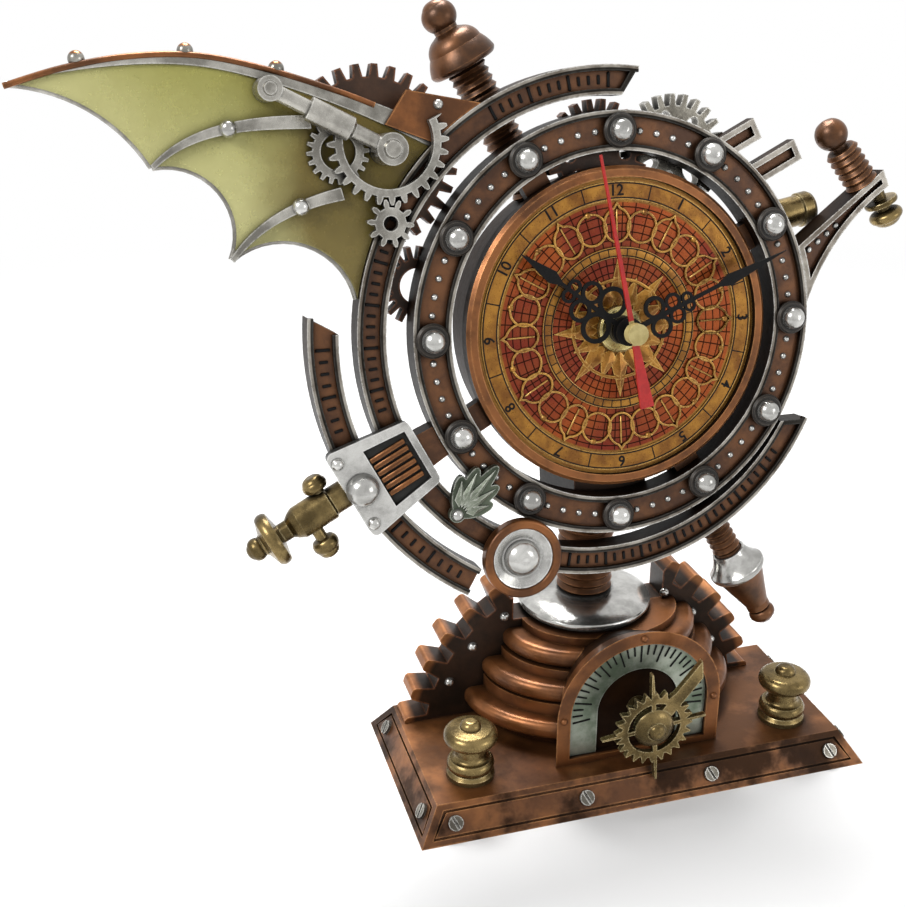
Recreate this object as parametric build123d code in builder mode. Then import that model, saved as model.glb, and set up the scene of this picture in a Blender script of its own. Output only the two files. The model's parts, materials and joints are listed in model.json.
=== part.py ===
from build123d import *
from math import acos, atan2, cos, degrees, hypot, pi, radians, sin, tan
import os

os.makedirs("parts", exist_ok=True)

# All lengths are millimetres and all angles degrees. X is to the right, Y to the back, Z up.
# The origin is the middle of the plinth's underside.

# Plinth and what is fixed to it
plinth_width = 148.0
plinth_depth = 67.0
plinth_height = 10.0
plinth_inset = 6.5
panel_border = 1.9
panel_groove = 0.7
screw_radius = 2.3
screw_height = 1.0
screw_slot = 0.7
screw_end_gap = 8.0
front_screws = 4
side_screws = 2
knob_x = 53.4
knob_y = -14.8
knob_height = 19.4
knob_cap_radius = 7.8
knob_foot_radius = 7.4
knob_waist_radius = 4.6

# Toothed arch at the back and the ribbed half bell in front of it
post_x = -3.4
post_y = 21.0
arch_x = -4.5
arch_z = 1.5
arch_front = 16.0
arch_thickness = 10.0
arch_tip_radius = 62.5
arch_tooth_height = 7.0
arch_teeth = 35
arch_saddle = 3.8
arch_rivet_inset = 4.0
arch_rivet_radius = 1.6
arch_rivet_angles = (25.0, 41.0, 57.0, 123.0, 139.0, 155.0)
rib_half_widths = (46.0, 40.0, 33.0)
rib_depth_share = 0.74
rib_lows = (14.0, 24.5, 34.0)
rib_thickness = 6.0
rib_core_step = 6.5
body_top = 43.0
collar_radius = 22.4
collar_height = 6.0
collar_edge = 1.6

# Gauge on the front of the body
gauge_front = -20.0
gauge_back = -0.6
gauge_half_width = 27.3
gauge_back_half_width = 17.0
gauge_centre_z = 26.6
bezel_width = 4.4
gauge_recess = 2.5
scale_thickness = 1.0
scale_inner_radius = 13.5
pointer_back = -29.0
pointer_thickness = 1.8
pointer_tip_radius = 12.6
pointer_root_radius = 10.6
pointer_hole_radius = 8.6
pointer_teeth = 24
pointer_hub_radius = 6.4
pointer_hub_height = 3.6
pointer_axle_radius = 3.2
pointer_spoke = 19.2
pointer_side_spoke = 17.0
pointer_spoke_width = 1.9
pointer_spoke_tip = 0.6
pointer_blade = 25.5
pointer_blade_width = 4.2
pointer_turn = 5.0
pointer_blade_angle = 51.0

# Threaded post and the bracket that carries the head
post_radius = 9.0
post_pitch = 2.7
post_thread_depth = 1.1
post_top = 95.0
bracket_wall = 2.6
bracket_top = -41.0
bracket_bottom = -56.0
bracket_front_gap = 1.0
bracket_back = -37.0

# Head: everything below is measured from the middle of the dial, in a plane that leans back
head_x = -4.5
head_y = 4.0
head_z = 143.4
head_lean = 10.0
frame_back = -5.0
frame_floor = 1.6
frame_front = 3.0
rim_width = 1.7
ring_inner = 50.0
ring_outer = 61.0
ring_bolts = 12
ring_bolt_start = -1.5
bolt_washer_radius = 4.9
bolt_washer_height = 1.4
bolt_dome_radius = 3.4
rivet_radius = 0.95
rivets_between = 4
lug_width = 8.0
lug_thickness = 4.0
lug_angles = (28.0, 118.0, 208.0, 298.0)
band_x = -3.5
band_inner = 65.1
band_outer = 73.3
band_start = 84.8
band_end = 329.5
band_flare = 3.6
link_half_angle = 4.5
arc_gap = 5.0
arc_width = 8.7
upper_arc = (176.0, 203.0)
lower_arc = (209.0, 238.5)
arc_flare = 3.0

# Junction plate, taps, boss and leaf spray on the band
plate_angle = 206.7
plate_half_angle = 9.1
plate_inner = 64.4
plate_outer = 89.4
plate_thickness = 3.0
plate_corner = 2.0
plate_pocket = (66.2, 79.0, 6.8)
plate_pocket_depth = 1.0
plate_dome_r = 84.0
plate_dome_radius = 4.8
plate_rivet_radius = 1.8
plate_rivet_inset = 2.6
plate_rivet_spread = 6.7
tap_length = 32.0
tap_radius = 4.8
tap_neck_radius = 2.8
tap_flange_radius = 8.0
tap_side_r = (94.5, 100.5)
tap_side_length = (9.5, 13.5)
tap_side_radius = 3.2
boss_r = 70.6
boss_angle = 245.8
boss_ring_radius = 11.8
boss_dish_radius = 9.0
boss_dome_radius = 5.6
boss_height = 3.6
leaf_r = 68.4
leaf_angle = 225.5
leaf_lobes = ((80.0, 11.5), (62.0, 14.8), (45.0, 18.2), (28.5, 14.6), (10.0, 11.0))
leaf_width = 4.6
leaf_thickness = 2.0

# Finials on threaded rods behind the frame
upper_angle = 117.2
upper_rod_radius = 5.7
upper_bell_start = 84.0
upper_bell_end = 94.0
upper_bell_radius = 9.8
upper_ball_radius = 4.9
lower_angle = 298.4
lower_rod_radius = 4.6
cone_nut_start = 87.0
cone_nut_length = 8.5
cone_nut_radius = 9.0
cone_nut_lip = 0.7
lower_tip = 116.0
lower_ball_radius = 4.0
rod_pitch = 2.2
rod_thread_depth = 0.8

# Arm, its screw and nut, beam stubs and barrel on the right
arm_root_angles = (18.0, -3.0)
arm_tip_upper = (86.0, 40.0)
arm_tip_lower = (88.0, 35.2)
arm_hollow = (67.5, 15.5)
arm_screw_at = (81.2, 36.4)
arm_screw_radius = 5.0
arm_screw_length = 12.6
arm_ball_radius = 4.8
arm_screw_neck = 1.6
arm_rivet_shares = (0.12, 0.22, 0.32, 0.42)
thumb_at = (86.0, 34.6)
thumb_angle = 295.0
thumb_length = 12.5
thumb_radius = 4.8
vane_angle = 25.5
vane_width = 6.4
vane_tips = ((48.6, 54.0), (62.0, 47.3))
vane_length = 18.0
vane_thickness = 4.0
barrel_from = (49.5, 26.2)
barrel_to = (69.2, 29.6)
barrel_radius = 5.2
barrel_flange = 1.0

# Ornamental gears
back_gear_thickness = 4.0
back_tooth = 3.4
back_left_at = (-67.9, 51.6)
back_left_tip = 24.6
back_left_hole = 12.4
back_left_teeth = 30
back_top_at = (-2.0, 49.0)
back_top_tip = 15.4
back_top_teeth = 22
back_side_at = (-57.0, 16.0)
back_side_tip = 11.0
back_side_teeth = 18
back_right_at = (23.4, 48.4)
back_right_tip = 16.6
back_right_teeth = 24
gear_module = 1.12
gear_large_teeth = 28
gear_small_teeth = 10
gear_large_at = (-65.1, 55.6)
gear_large_hole = 12.3
gear_mouth = (24.0, 159.0)
gear_small_direction = 268.0
gear_small_hole = 2.0
gear_mid_at = (-78.3, 53.6)
gear_mid_tip = 8.4
gear_mid_hole = 4.7
gear_mid_teeth = 20
gear_thickness = 2.4
gear_tooth_play = 0.35

# Wing: outline points in the head's plane
wing_back = -1.0
wing_front = 1.0
wing_tip = (-159.8, 74.1)
spar_top = ((-145.2, 77.9), (-129.0, 80.1), (-112.0, 79.7), (-94.5, 75.6), (-76.5, 69.4))
spar_root_angle = 128.0
spar_widths = (1.6, 2.6, 3.2, 3.6, 4.2)
spar_root_width = 6.0
spar_half_thickness = 1.7
spar_knuckles = ((-141.9, 79.4), (-115.2, 80.4), (-92.5, 75.3))
spar_knuckle_radius = 2.1
finger_tips = ((-126.3, 52.2), (-108.2, 27.4))
scallop_middles = ((-138.4, 66.2), (-110.9, 46.7), (-92.7, 31.3))
wing_low_angle = 168.6
finger_upper = ((-116.6, 58.2), (-106.4, 60.9), (-85.0, 61.6))
finger_lower = ((-100.7, 34.4), (-89.2, 40.1), (-77.8, 42.8))
finger_tip_width = 1.4
finger_root_width = 3.4
finger_thickness = 1.8
root_outline = ((118.5, 0.0), (131.7, 0.0), (135.8, 12.7), (128.9, 14.9))
root_rivet = (126.0, 6.5)
root_rivet_radius = 1.4
finger_rivet_radius = 2.3
strut_from = (-96.1, 70.1)
strut_to = (-65.5, 53.7)
strut_rod_radius = 2.0
strut_sleeve_radius = 3.2
strut_sleeve = (11.0, 23.0)
strut_eye_radius = 4.2
strut_lift = 8.9
strut_cap = 0.9
strut_cap_cover = 0.6

# Dial and drum
drum_radius = 44.0
drum_rim_radius = 46.0
drum_rim_depth = 5.0
drum_front = 4.6
drum_back = -17.0
drum_bore = 40.4
dial_radius = 42.8
dial_thickness = 3.0
dial_numeral_ring = (36.6, 41.6)
dial_ring_step = 0.5
drum_rim_round = 1.0

# Movement
case_size = 56.0
case_depth = 16.5
case_wall = 1.5
case_corner = 3.0
bush_radius = 4.0
bush_length = 7.4
nut_radius = 6.6
nut_height = 2.4
hour_pipe_radius = 2.5
minute_pipe_radius = 1.5
second_arbor_radius = 0.5
pin_radius = 0.4
sleeve_radius = 1.1
layer_thickness = 1.2
layer_gap = 0.9
end_play = 0.4
pinion_overlap = 0.2
fit = 0.05
seat = 0.05
battery_radius = 7.25
battery_length = 50.5
battery_nub = (2.6, 1.2)
battery_play = 0.15
bay_wall = 0.5
set_knob_radius = 5.0
set_knob_height = 4.0
set_knob_ridges = 20
set_stem_radius = 1.0
magnet_radius = 3.0
magnet_height = 4.5
coil_at = (19.5, 17.6)
coil_radius = 4.0
coil_length = 15.0
coil_flange = 1.0
board_at = (-17.0, 21.8)
board_size = (16.0, 8.4, 1.0)
chip_size = (4.0, 4.0, 1.0)

# Wheels of the movement: teeth, modules and directions from one axis to the next
train_module = 0.35
second_pinion_teeth = 8
third_teeth = 60
third_pinion_teeth = 8
centre_teeth = 64
second_teeth = 48
intermediate_pinion_teeth = 8
intermediate_teeth = 40
rotor_pinion_teeth = 8
rotor_module = 0.30
cannon_teeth = 12
minute_teeth = 36
minute_pinion_teeth = 10
hour_teeth = 40
hour_module = 0.40
set_teeth = 12
third_direction = 150.0
intermediate_direction = 85.0
rotor_direction = 60.0
minute_direction = 20.0
set_direction = -15.0
tooth_play = 0.10

# Hands: each loop is along, aside, radius and hole; a leaf is its start, widest place and width there
hand_thickness = 0.7
hand_gap = 2.0
hour_length = 39.0
minute_length = 53.0
second_length = 50.0
second_tail = 22.0
hour_angle = 142.0
minute_angle = 21.5
second_angle = 100.0
hand_hub_radius = 4.0
second_hub_radius = 2.6
cap_radius = 3.0
cap_height = 3.2
hand_stem_widths = (1.6, 1.0)
hour_loops = ((8.2, 4.3, 4.5, 3.2), (15.0, 3.0, 3.3, 2.2), (20.4, 1.5, 2.1, 1.2))
hour_leaf = (24.0, 27.5, 3.8)
minute_loops = ((9.5, 3.0, 3.3, 2.2), (15.2, 2.1, 2.5, 1.6), (19.6, 1.2, 1.8, 1.0))
minute_leaf = (30.0, 33.5, 3.4)
second_widths = (4.2, 1.4, 0.6)
tip_flat = 0.05

standing = (Align.CENTER, Align.CENTER, Align.MIN)
lean = radians(head_lean)
HEAD = Plane(origin=(head_x, head_y, head_z), x_dir=(1, 0, 0), z_dir=(0, -cos(lean), sin(lean)))


def polar(r, angle):
    return (r * cos(radians(angle)), r * sin(radians(angle)))


# A point about the band's middle, which is to the left of the dial's
def on_band(r, angle):
    x, y = polar(r, angle)
    return (band_x + x, y)


def in_head(at, d=0.0):
    return HEAD.origin + HEAD.x_dir * at[0] + HEAD.y_dir * at[1] + HEAD.z_dir * d


def head_plane(at, d, angle=0.0):
    x_dir = HEAD.x_dir * cos(radians(angle)) + HEAD.y_dir * sin(radians(angle))
    return Plane(origin=in_head(at, d), x_dir=x_dir, z_dir=HEAD.z_dir)


BAND = head_plane((band_x, 0), 0)


# A flat ring sector; a flare makes the outer edge longer than the inner one
def sector(inner, outer, start, end, flare_start=0.0, flare_end=0.0):
    with BuildSketch() as shape:
        with BuildLine():
            low = CenterArc((0, 0), inner, start, end - start)
            high = CenterArc((0, 0), outer, start - flare_start, end - start + flare_start + flare_end)
            Line(low @ 0, high @ 0)
            Line(low @ 1, high @ 1)
        make_face()
    add(shape.sketch)


# Turned work: (along, radius) points; a third number bows the stretch to that point, as a share of it
def turned(plane, profile):
    points = [(profile[0][0], 0.0), *profile, (profile[-1][0], 0.0)]
    with BuildPart() as shape:
        with BuildSketch(plane):
            with BuildLine():
                for before, after in zip(points, points[1:]):
                    if len(after) == 3:
                        stretch = hypot(after[0] - before[0], after[1] - before[1])
                        SagittaArc(before[:2], after[:2], after[2] * stretch)
                    else:
                        Line(before[:2], after[:2])
                Line(points[-1][:2], points[0][:2])
            make_face()
        revolve(axis=Axis(plane.origin, plane.x_dir))
    add(shape.part)


# Ridges of a screw thread, from one end to the other
def ridges(start, end, radius, depth, pitch):
    count = max(2, round((end - start) / pitch))
    step = (end - start) / count
    points = []
    for i in range(count):
        points += [(start + i * step, radius - depth), (start + (i + 0.5) * step, radius)]
    return points + [(end, radius - depth)]


# Straight-sided teeth of a cast gear
def cast_gear(teeth, tip, root, foot_share=0.62, tip_share=0.34, turn=0.0):
    pitch = 2 * pi / teeth
    points = []
    for i in range(teeth):
        middle = radians(turn) + i * pitch
        for r, half in ((root, -foot_share), (tip, -tip_share), (tip, tip_share), (root, foot_share)):
            a = middle + half * pitch / 2
            points.append((r * cos(a), r * sin(a)))
    with BuildSketch() as shape:
        with BuildLine():
            Polyline(*points, close=True)
        make_face()
    add(shape.sketch)


# Involute teeth with thinned flanks and short tips, so that a meshing pair keeps play
def gear_face(teeth, module, turn=0.0, play=tooth_play, addendum=0.75):
    pitch_r = teeth * module / 2
    base_r = pitch_r * cos(radians(20))
    root_r = pitch_r - 1.15 * module
    tip_r = pitch_r + addendum * module
    half_at_pitch = pi / (2 * teeth) - play / (2 * pitch_r)
    involute = tan(radians(20)) - radians(20)

    def half(r):
        roll = acos(min(1.0, base_r / r))
        return half_at_pitch + involute - (tan(roll) - roll)

    flank = [root_r, max(root_r, base_r) + 0.02 * module, pitch_r, tip_r]
    points = []
    for i in range(teeth):
        middle = radians(turn) + i * 2 * pi / teeth
        for r in flank:
            points.append((r * cos(middle - half(max(r, base_r))), r * sin(middle - half(max(r, base_r)))))
        for r in reversed(flank):
            points.append((r * cos(middle + half(max(r, base_r))), r * sin(middle + half(max(r, base_r)))))
    with BuildSketch() as shape:
        with BuildLine():
            Polyline(*points, close=True)
        make_face()
    return shape.sketch


# How far a wheel is turned so that its gap faces the tooth of the wheel that it meshes with
def mesh_turn(turn, teeth, other_teeth, direction):
    return direction + 180 + 180 / other_teeth - (turn - direction) * teeth / other_teeth


def step_from(at, direction, distance):
    x, y = polar(distance, direction)
    return (at[0] + x, at[1] + y)


def front_faces(builder):
    return builder.faces().filter_by(lambda face: face.normal_at().dot(HEAD.z_dir) > 0.99)


def finish(builder, name):
    builder.part.label = name
    export_step(builder.part, f"parts/{name}.step")


# Plinth: a block with sloped sides and a framed panel cut into each side
slope_length = hypot(plinth_height, plinth_inset)
slope_angle = degrees(atan2(plinth_inset, plinth_height))


# The plane of one sloped side, with its x along the plinth's edge and its origin half way up
def side_plane(turn, reach):
    a = radians(turn)
    out = Vector(sin(a), -cos(a), 0)
    up = Vector(0, 0, 1)
    middle = out * (reach - plinth_inset / 2) + up * (plinth_height / 2)
    normal = out * cos(radians(slope_angle)) + up * sin(radians(slope_angle))
    return Plane(origin=middle, x_dir=(cos(a), sin(a), 0), z_dir=normal)


sides = []
for turn, length, reach, screws in (
    (0, plinth_width, plinth_depth / 2, front_screws),
    (90, plinth_depth, plinth_width / 2, side_screws),
    (180, plinth_width, plinth_depth / 2, front_screws),
    (270, plinth_depth, plinth_width / 2, side_screws),
):
    sides.append((side_plane(turn, reach), length, screws))

with BuildPart() as plinth:
    with BuildSketch():
        Rectangle(plinth_width, plinth_depth)
    with BuildSketch(Plane.XY.offset(plinth_height)):
        Rectangle(plinth_width - 2 * plinth_inset, plinth_depth - 2 * plinth_inset)
    loft()
    for plane, length, screws in sides:
        half = slope_length / 2 - panel_border
        drawn_in = plinth_inset / slope_length
        with BuildSketch(plane):
            for edge, mode in ((0.0, Mode.ADD), (panel_groove, Mode.SUBTRACT)):
                low = length / 2 - 2 * panel_border - edge
                high = low - 2 * half * drawn_in
                rise = half - edge
                with BuildLine():
                    Polyline((-low, -rise), (low, -rise), (high, rise), (-high, rise), close=True)
                make_face(mode=mode)
        extrude(amount=-panel_groove, mode=Mode.SUBTRACT)
finish(plinth, "plinth")

with BuildPart() as slotted_screws:
    for plane, length, screws in sides:
        span = length - plinth_inset - 2 * screw_end_gap
        with Locations(plane):
            with GridLocations(span / (screws - 1), 0, screws, 1):
                Cylinder(screw_radius, screw_height, align=standing)
                with Locations((0, 0, screw_height)):
                    Box(screw_slot, 3 * screw_radius, screw_height, rotation=(0, 0, 25), mode=Mode.SUBTRACT)
finish(slotted_screws, "slotted_screws")

with BuildPart() as base_knobs:
    for side in (-1, 1):
        foot = Plane(origin=(side * knob_x, knob_y, plinth_height), x_dir=(0, 0, 1), z_dir=(0, -1, 0))
        h = knob_height
        turned(
            foot,
            [
                (0.0, knob_foot_radius),
                (0.07 * h, knob_foot_radius),
                (0.13 * h, 0.88 * knob_foot_radius),
                (0.32 * h, 0.86 * knob_foot_radius, 0.24),
                (0.40 * h, knob_waist_radius, -0.21),
                (0.52 * h, knob_waist_radius),
                (0.60 * h, 0.84 * knob_cap_radius, -0.24),
                (0.86 * h, 0.80 * knob_cap_radius, 0.38),
                (0.88 * h, 0.42 * knob_cap_radius),
                (h, 0.10 * knob_cap_radius, 0.24),
            ],
        )
finish(base_knobs, "base_knobs")

# Toothed arch: the upper part of a gear that stands on the plinth, with a saddle cut for the collar
collar_z = body_top
arch_plane = Plane(origin=(arch_x, arch_front + arch_thickness, arch_z), x_dir=(1, 0, 0), z_dir=(0, -1, 0))
arch_face = arch_plane.offset(arch_thickness)
arch_root_radius = arch_tip_radius - arch_tooth_height
arch_points = [polar(arch_root_radius - arch_rivet_inset, angle) for angle in arch_rivet_angles]
with BuildPart() as gear_arch:
    with BuildSketch(arch_plane):
        cast_gear(arch_teeth, arch_tip_radius, arch_root_radius, turn=90)
        with Locations((0, plinth_height - arch_z)):
            below = (Align.CENTER, Align.MAX)
            Rectangle(3 * arch_tip_radius, 2 * arch_tip_radius, align=below, mode=Mode.SUBTRACT)
    extrude(amount=arch_thickness)
    along = gear_arch.edges().filter_by(Axis.Y)
    tips = along.group_by(lambda e: round(hypot(e.center().X - arch_x, e.center().Z - arch_z), 2))[-1]
    fillet(tips, arch_tooth_height / 5)
    with Locations((post_x, arch_front, collar_z)):
        saddle_width = 2 * (collar_radius + arch_saddle)
        Box(saddle_width, 2 * arch_thickness + seat, arch_tip_radius, align=standing, mode=Mode.SUBTRACT)
finish(gear_arch, "gear_arch")

# An arch on two straight legs, about the gauge's middle
def arched(half_width, foot=plinth_height):
    with BuildSketch() as shape:
        with BuildLine():
            left = Line((-half_width, foot), (-half_width, gauge_centre_z))
            right = Line((half_width, foot), (half_width, gauge_centre_z))
            CenterArc((0, gauge_centre_z), half_width, 0, 180)
            Line(left @ 0, right @ 0)
        make_face()
    add(shape.sketch)


# Gauge housing: an arch-shaped hood that narrows towards the body
gauge_plane = Plane(origin=(0, gauge_front, 0), x_dir=(1, 0, 0), z_dir=(0, -1, 0))
scale_radius = gauge_half_width - bezel_width
with BuildPart() as gauge_housing:
    with BuildSketch(gauge_plane):
        arched(gauge_half_width)
    with BuildSketch(gauge_plane.offset(gauge_front - gauge_back)):
        arched(gauge_back_half_width)
    loft()
    with BuildSketch(gauge_plane):
        arched(scale_radius, plinth_height + bezel_width / 2)
    extrude(amount=-gauge_recess, mode=Mode.SUBTRACT)
finish(gauge_housing, "gauge_housing")

with BuildPart() as gauge_scale:
    with BuildSketch(gauge_plane.offset(-gauge_recess)):
        arched(scale_radius - seat, plinth_height + bezel_width / 2 + seat)
        with Locations((0, gauge_centre_z)):
            Circle(scale_inner_radius, mode=Mode.SUBTRACT)
            below = (Align.CENTER, Align.MAX)
            Rectangle(2 * scale_inner_radius, 2 * gauge_centre_z, align=below, mode=Mode.SUBTRACT)
    extrude(amount=scale_thickness)
finish(gauge_scale, "gauge_scale")

wheel_plane = Plane(origin=(0, pointer_back, gauge_centre_z), x_dir=(1, 0, 0), z_dir=(0, -1, 0))
with BuildPart() as pointer_wheel:
    with BuildSketch(wheel_plane):
        cast_gear(pointer_teeth, pointer_tip_radius, pointer_root_radius, 0.8, 0.12)
        Circle(pointer_hole_radius, mode=Mode.SUBTRACT)
        for i, length in enumerate((pointer_side_spoke, pointer_spoke, pointer_side_spoke, pointer_spoke)):
            with Locations(Location((0, 0), pointer_turn + 90 * i)):
                foot = pointer_spoke_width / 2
                tip = pointer_spoke_tip / 2
                Polygon((0, -foot), (length, -tip), (length, tip), (0, foot), align=None)
        with Locations(Location((0, 0), pointer_blade_angle)):
            half = pointer_blade_width / 2
            blade_back = pointer_blade - 2 * half
            Polygon((0, -half), (blade_back, -half), (pointer_blade, half), (0, half), align=None)
        Circle(pointer_hub_radius)
    extrude(amount=pointer_thickness)
    axle = Plane(origin=wheel_plane.origin, x_dir=(0, -1, 0), z_dir=(0, 0, 1))
    turned(
        axle,
        [
            (pointer_back - gauge_front - gauge_recess, pointer_axle_radius),
            (0.0, pointer_axle_radius),
            (0.0, pointer_hub_radius),
            (pointer_thickness, pointer_hub_radius),
            (pointer_thickness + 0.55 * pointer_hub_height, 0.45 * pointer_hub_radius, 0.12),
            (pointer_thickness + pointer_hub_height, tip_flat, 0.24),
        ],
    )
finish(pointer_wheel, "pointer_wheel")

# Ribbed body: elliptical ribs on a stepped core, cut flat at the arch, cleared for its rivets and the gauge
with BuildPart() as ribbed_body:
    for low, half_width in zip(rib_lows, rib_half_widths):
        with BuildSketch(Plane.XY.offset(low)):
            with Locations((0, arch_front)):
                Ellipse(half_width, half_width * rib_depth_share)
        extrude(amount=rib_thickness)
    fillet(ribbed_body.edges().filter_by(GeomType.ELLIPSE), 0.42 * rib_thickness)
    core_lows = (plinth_height, *rib_lows)
    core_tops = (*rib_lows, body_top)
    for low, top, half_width in zip(core_lows, core_tops, (rib_half_widths[0], *rib_half_widths)):
        core = half_width - rib_core_step
        with BuildSketch(Plane.XY.offset(low)):
            with Locations((0, arch_front)):
                Ellipse(core, core * rib_depth_share)
        extrude(amount=top - low)
    with Locations((0, arch_front, 0)):
        behind = (Align.CENTER, Align.MIN, Align.CENTER)
        Box(plinth_width, plinth_depth, 3 * body_top, align=behind, mode=Mode.SUBTRACT)
    with Locations(arch_face):
        with Locations(*arch_points):
            Sphere(arch_rivet_radius + seat, mode=Mode.SUBTRACT)
    with BuildSketch(gauge_plane):
        arched(gauge_half_width + seat)
    with BuildSketch(gauge_plane.offset(gauge_front - gauge_back - seat)):
        arched(gauge_back_half_width + seat)
    loft(mode=Mode.SUBTRACT)
finish(ribbed_body, "ribbed_body")

post_axis = Plane(origin=(post_x, post_y, 0), x_dir=(0, 0, 1), z_dir=(0, -1, 0))
collar_top = collar_z + collar_height
with BuildPart() as collar:
    turned(
        post_axis,
        [
            (collar_z, collar_radius - 1.5 * collar_edge),
            (collar_z + 0.25 * collar_height, collar_radius - collar_edge / 2, 0.09),
            (collar_z + 0.55 * collar_height, collar_radius - collar_edge / 2, 0.22),
            (collar_top, post_radius + collar_edge, 0.09),
        ],
    )
finish(collar, "collar")

with BuildPart() as post:
    turned(post_axis, ridges(collar_top, post_top, post_radius, post_thread_depth, post_pitch))
finish(post, "post")

# Head bracket: a block under the drum with a socket for the post
bracket_half = post_radius + bracket_wall
with BuildPart() as head_bracket:
    with BuildSketch(HEAD.offset(bracket_back)):
        with Locations((0, bracket_bottom)):
            Rectangle(2 * bracket_half, bracket_top - bracket_bottom, align=(Align.CENTER, Align.MIN))
    extrude(amount=frame_back - bracket_front_gap - bracket_back)
    fillet(head_bracket.edges().filter_by(Axis(HEAD.origin, HEAD.z_dir)), 0.6 * bracket_wall)
    with BuildSketch(HEAD.offset(drum_back - seat)):
        Circle(drum_radius + seat)
    extrude(amount=2 * drum_radius, mode=Mode.SUBTRACT)
    with Locations((post_x, post_y, post_top + seat)):
        hanging = (Align.CENTER, Align.CENTER, Align.MAX)
        Cylinder(post_radius + seat, post_top, align=hanging, mode=Mode.SUBTRACT)
finish(head_bracket, "head_bracket")

# Bolt ring: a channel ring with lugs that reach in to the drum
with BuildPart() as bolt_ring:
    with BuildSketch(HEAD.offset(frame_back)):
        Circle(ring_outer)
        Circle(ring_inner, mode=Mode.SUBTRACT)
    extrude(amount=frame_floor - frame_back)
    with BuildSketch(HEAD.offset(frame_floor)):
        Circle(ring_outer)
        Circle(ring_outer - rim_width, mode=Mode.SUBTRACT)
        Circle(ring_inner + rim_width)
        Circle(ring_inner, mode=Mode.SUBTRACT)
    extrude(amount=frame_front - frame_floor)
    with BuildSketch(HEAD.offset(frame_back)):
        for angle in lug_angles:
            with Locations(Location((0, 0), angle)):
                with Locations((drum_radius, 0)):
                    reach = ring_inner - drum_radius + rim_width
                    Rectangle(reach, lug_width, align=(Align.MIN, Align.CENTER))
        Circle(drum_radius + seat, mode=Mode.SUBTRACT)
    extrude(amount=lug_thickness)
finish(bolt_ring, "bolt_ring")

bolt_r = (ring_inner + ring_outer) / 2
with BuildPart() as bolt_washers:
    with BuildSketch(HEAD.offset(frame_front)):
        with PolarLocations(bolt_r, ring_bolts, ring_bolt_start):
            Circle(bolt_washer_radius)
    extrude(amount=bolt_washer_height)
    chamfer(front_faces(bolt_washers).edges(), 0.4 * bolt_washer_height)
finish(bolt_washers, "bolt_washers")

with BuildPart(HEAD.offset(frame_front + bolt_washer_height)) as bolt_domes:
    with PolarLocations(bolt_r, ring_bolts, ring_bolt_start):
        Sphere(bolt_dome_radius, arc_size1=0, align=standing)
finish(bolt_domes, "bolt_domes")

# Main band: an open ring that lies off the bolt ring's middle, with a link to it at the junction plate
with BuildPart() as main_band:
    with BuildSketch(BAND.offset(frame_back)):
        sector(band_inner, band_outer, band_start, band_end, band_flare, band_flare)
    extrude(amount=frame_floor - frame_back)
    with BuildSketch(BAND.offset(frame_floor)):
        sector(band_outer - rim_width, band_outer, band_start - band_flare, band_end + band_flare)
        sector(band_inner, band_inner + rim_width, band_start, band_end)
        for end, side in ((band_start, 1), (band_end, -1)):
            flare = side * band_flare
            width = side * degrees(rim_width / band_outer)
            with BuildLine():
                Polyline(
                    polar(band_inner, end), polar(band_outer, end - flare),
                    polar(band_outer, end - flare + width), polar(band_inner, end + width), close=True,
                )
            make_face()
    extrude(amount=frame_front - frame_floor)
    with BuildSketch(HEAD.offset(frame_back)):
        link_start, link_end = plate_angle - link_half_angle, plate_angle + link_half_angle
        sector(ring_outer, hypot(*on_band(band_inner + rim_width, plate_angle)), link_start, link_end)
    extrude(amount=frame_floor - frame_back)
    with BuildSketch(HEAD.offset(frame_back)):
        Circle(ring_outer + seat)
    extrude(amount=frame_front - frame_back, mode=Mode.SUBTRACT)
finish(main_band, "main_band")

# Outer arcs: two pieces of a second ring outside the band
arc_inner = band_outer + arc_gap
arc_outer = arc_inner + arc_width
with BuildPart() as outer_arcs:
    for (start, end), flares in ((upper_arc, (arc_flare, 0.0)), (lower_arc, (0.0, 0.0))):
        with BuildSketch(BAND.offset(frame_back)):
            sector(arc_inner, arc_outer, start, end, *flares)
        extrude(amount=frame_floor - frame_back)
        with BuildSketch(BAND.offset(frame_floor)):
            sector(arc_outer - rim_width, arc_outer, start - flares[0], end)
            sector(arc_inner, arc_inner + rim_width, start, end)
        extrude(amount=frame_front - frame_floor)
finish(outer_arcs, "outer_arcs")

# A four-sided face that widens outwards about the junction plate's middle line
def plate_face(inner, outer, half_angle):
    low, high = plate_angle - half_angle, plate_angle + half_angle
    with BuildSketch() as shape:
        with BuildLine():
            corners = [polar(r, angle) for r, angle in ((inner, low), (outer, low), (outer, high), (inner, high))]
            Polyline(*corners, close=True)
        make_face()
    add(shape.sketch)


# Junction plate across the band and the outer arcs, with a shallow pocket and a dome
plate_front = frame_front + plate_thickness
with BuildPart() as junction_plate:
    with BuildSketch(BAND.offset(frame_front)):
        plate_face(plate_inner, plate_outer, plate_half_angle)
        fillet(vertices(), plate_corner)
    extrude(amount=plate_thickness)
    with BuildSketch(BAND.offset(plate_front)):
        plate_face(*plate_pocket)
    extrude(amount=-plate_pocket_depth, mode=Mode.SUBTRACT)
    with Locations(head_plane(on_band(plate_dome_r, plate_angle), plate_front)):
        Sphere(plate_dome_radius, arc_size1=0, align=standing)
finish(junction_plate, "junction_plate")

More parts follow.
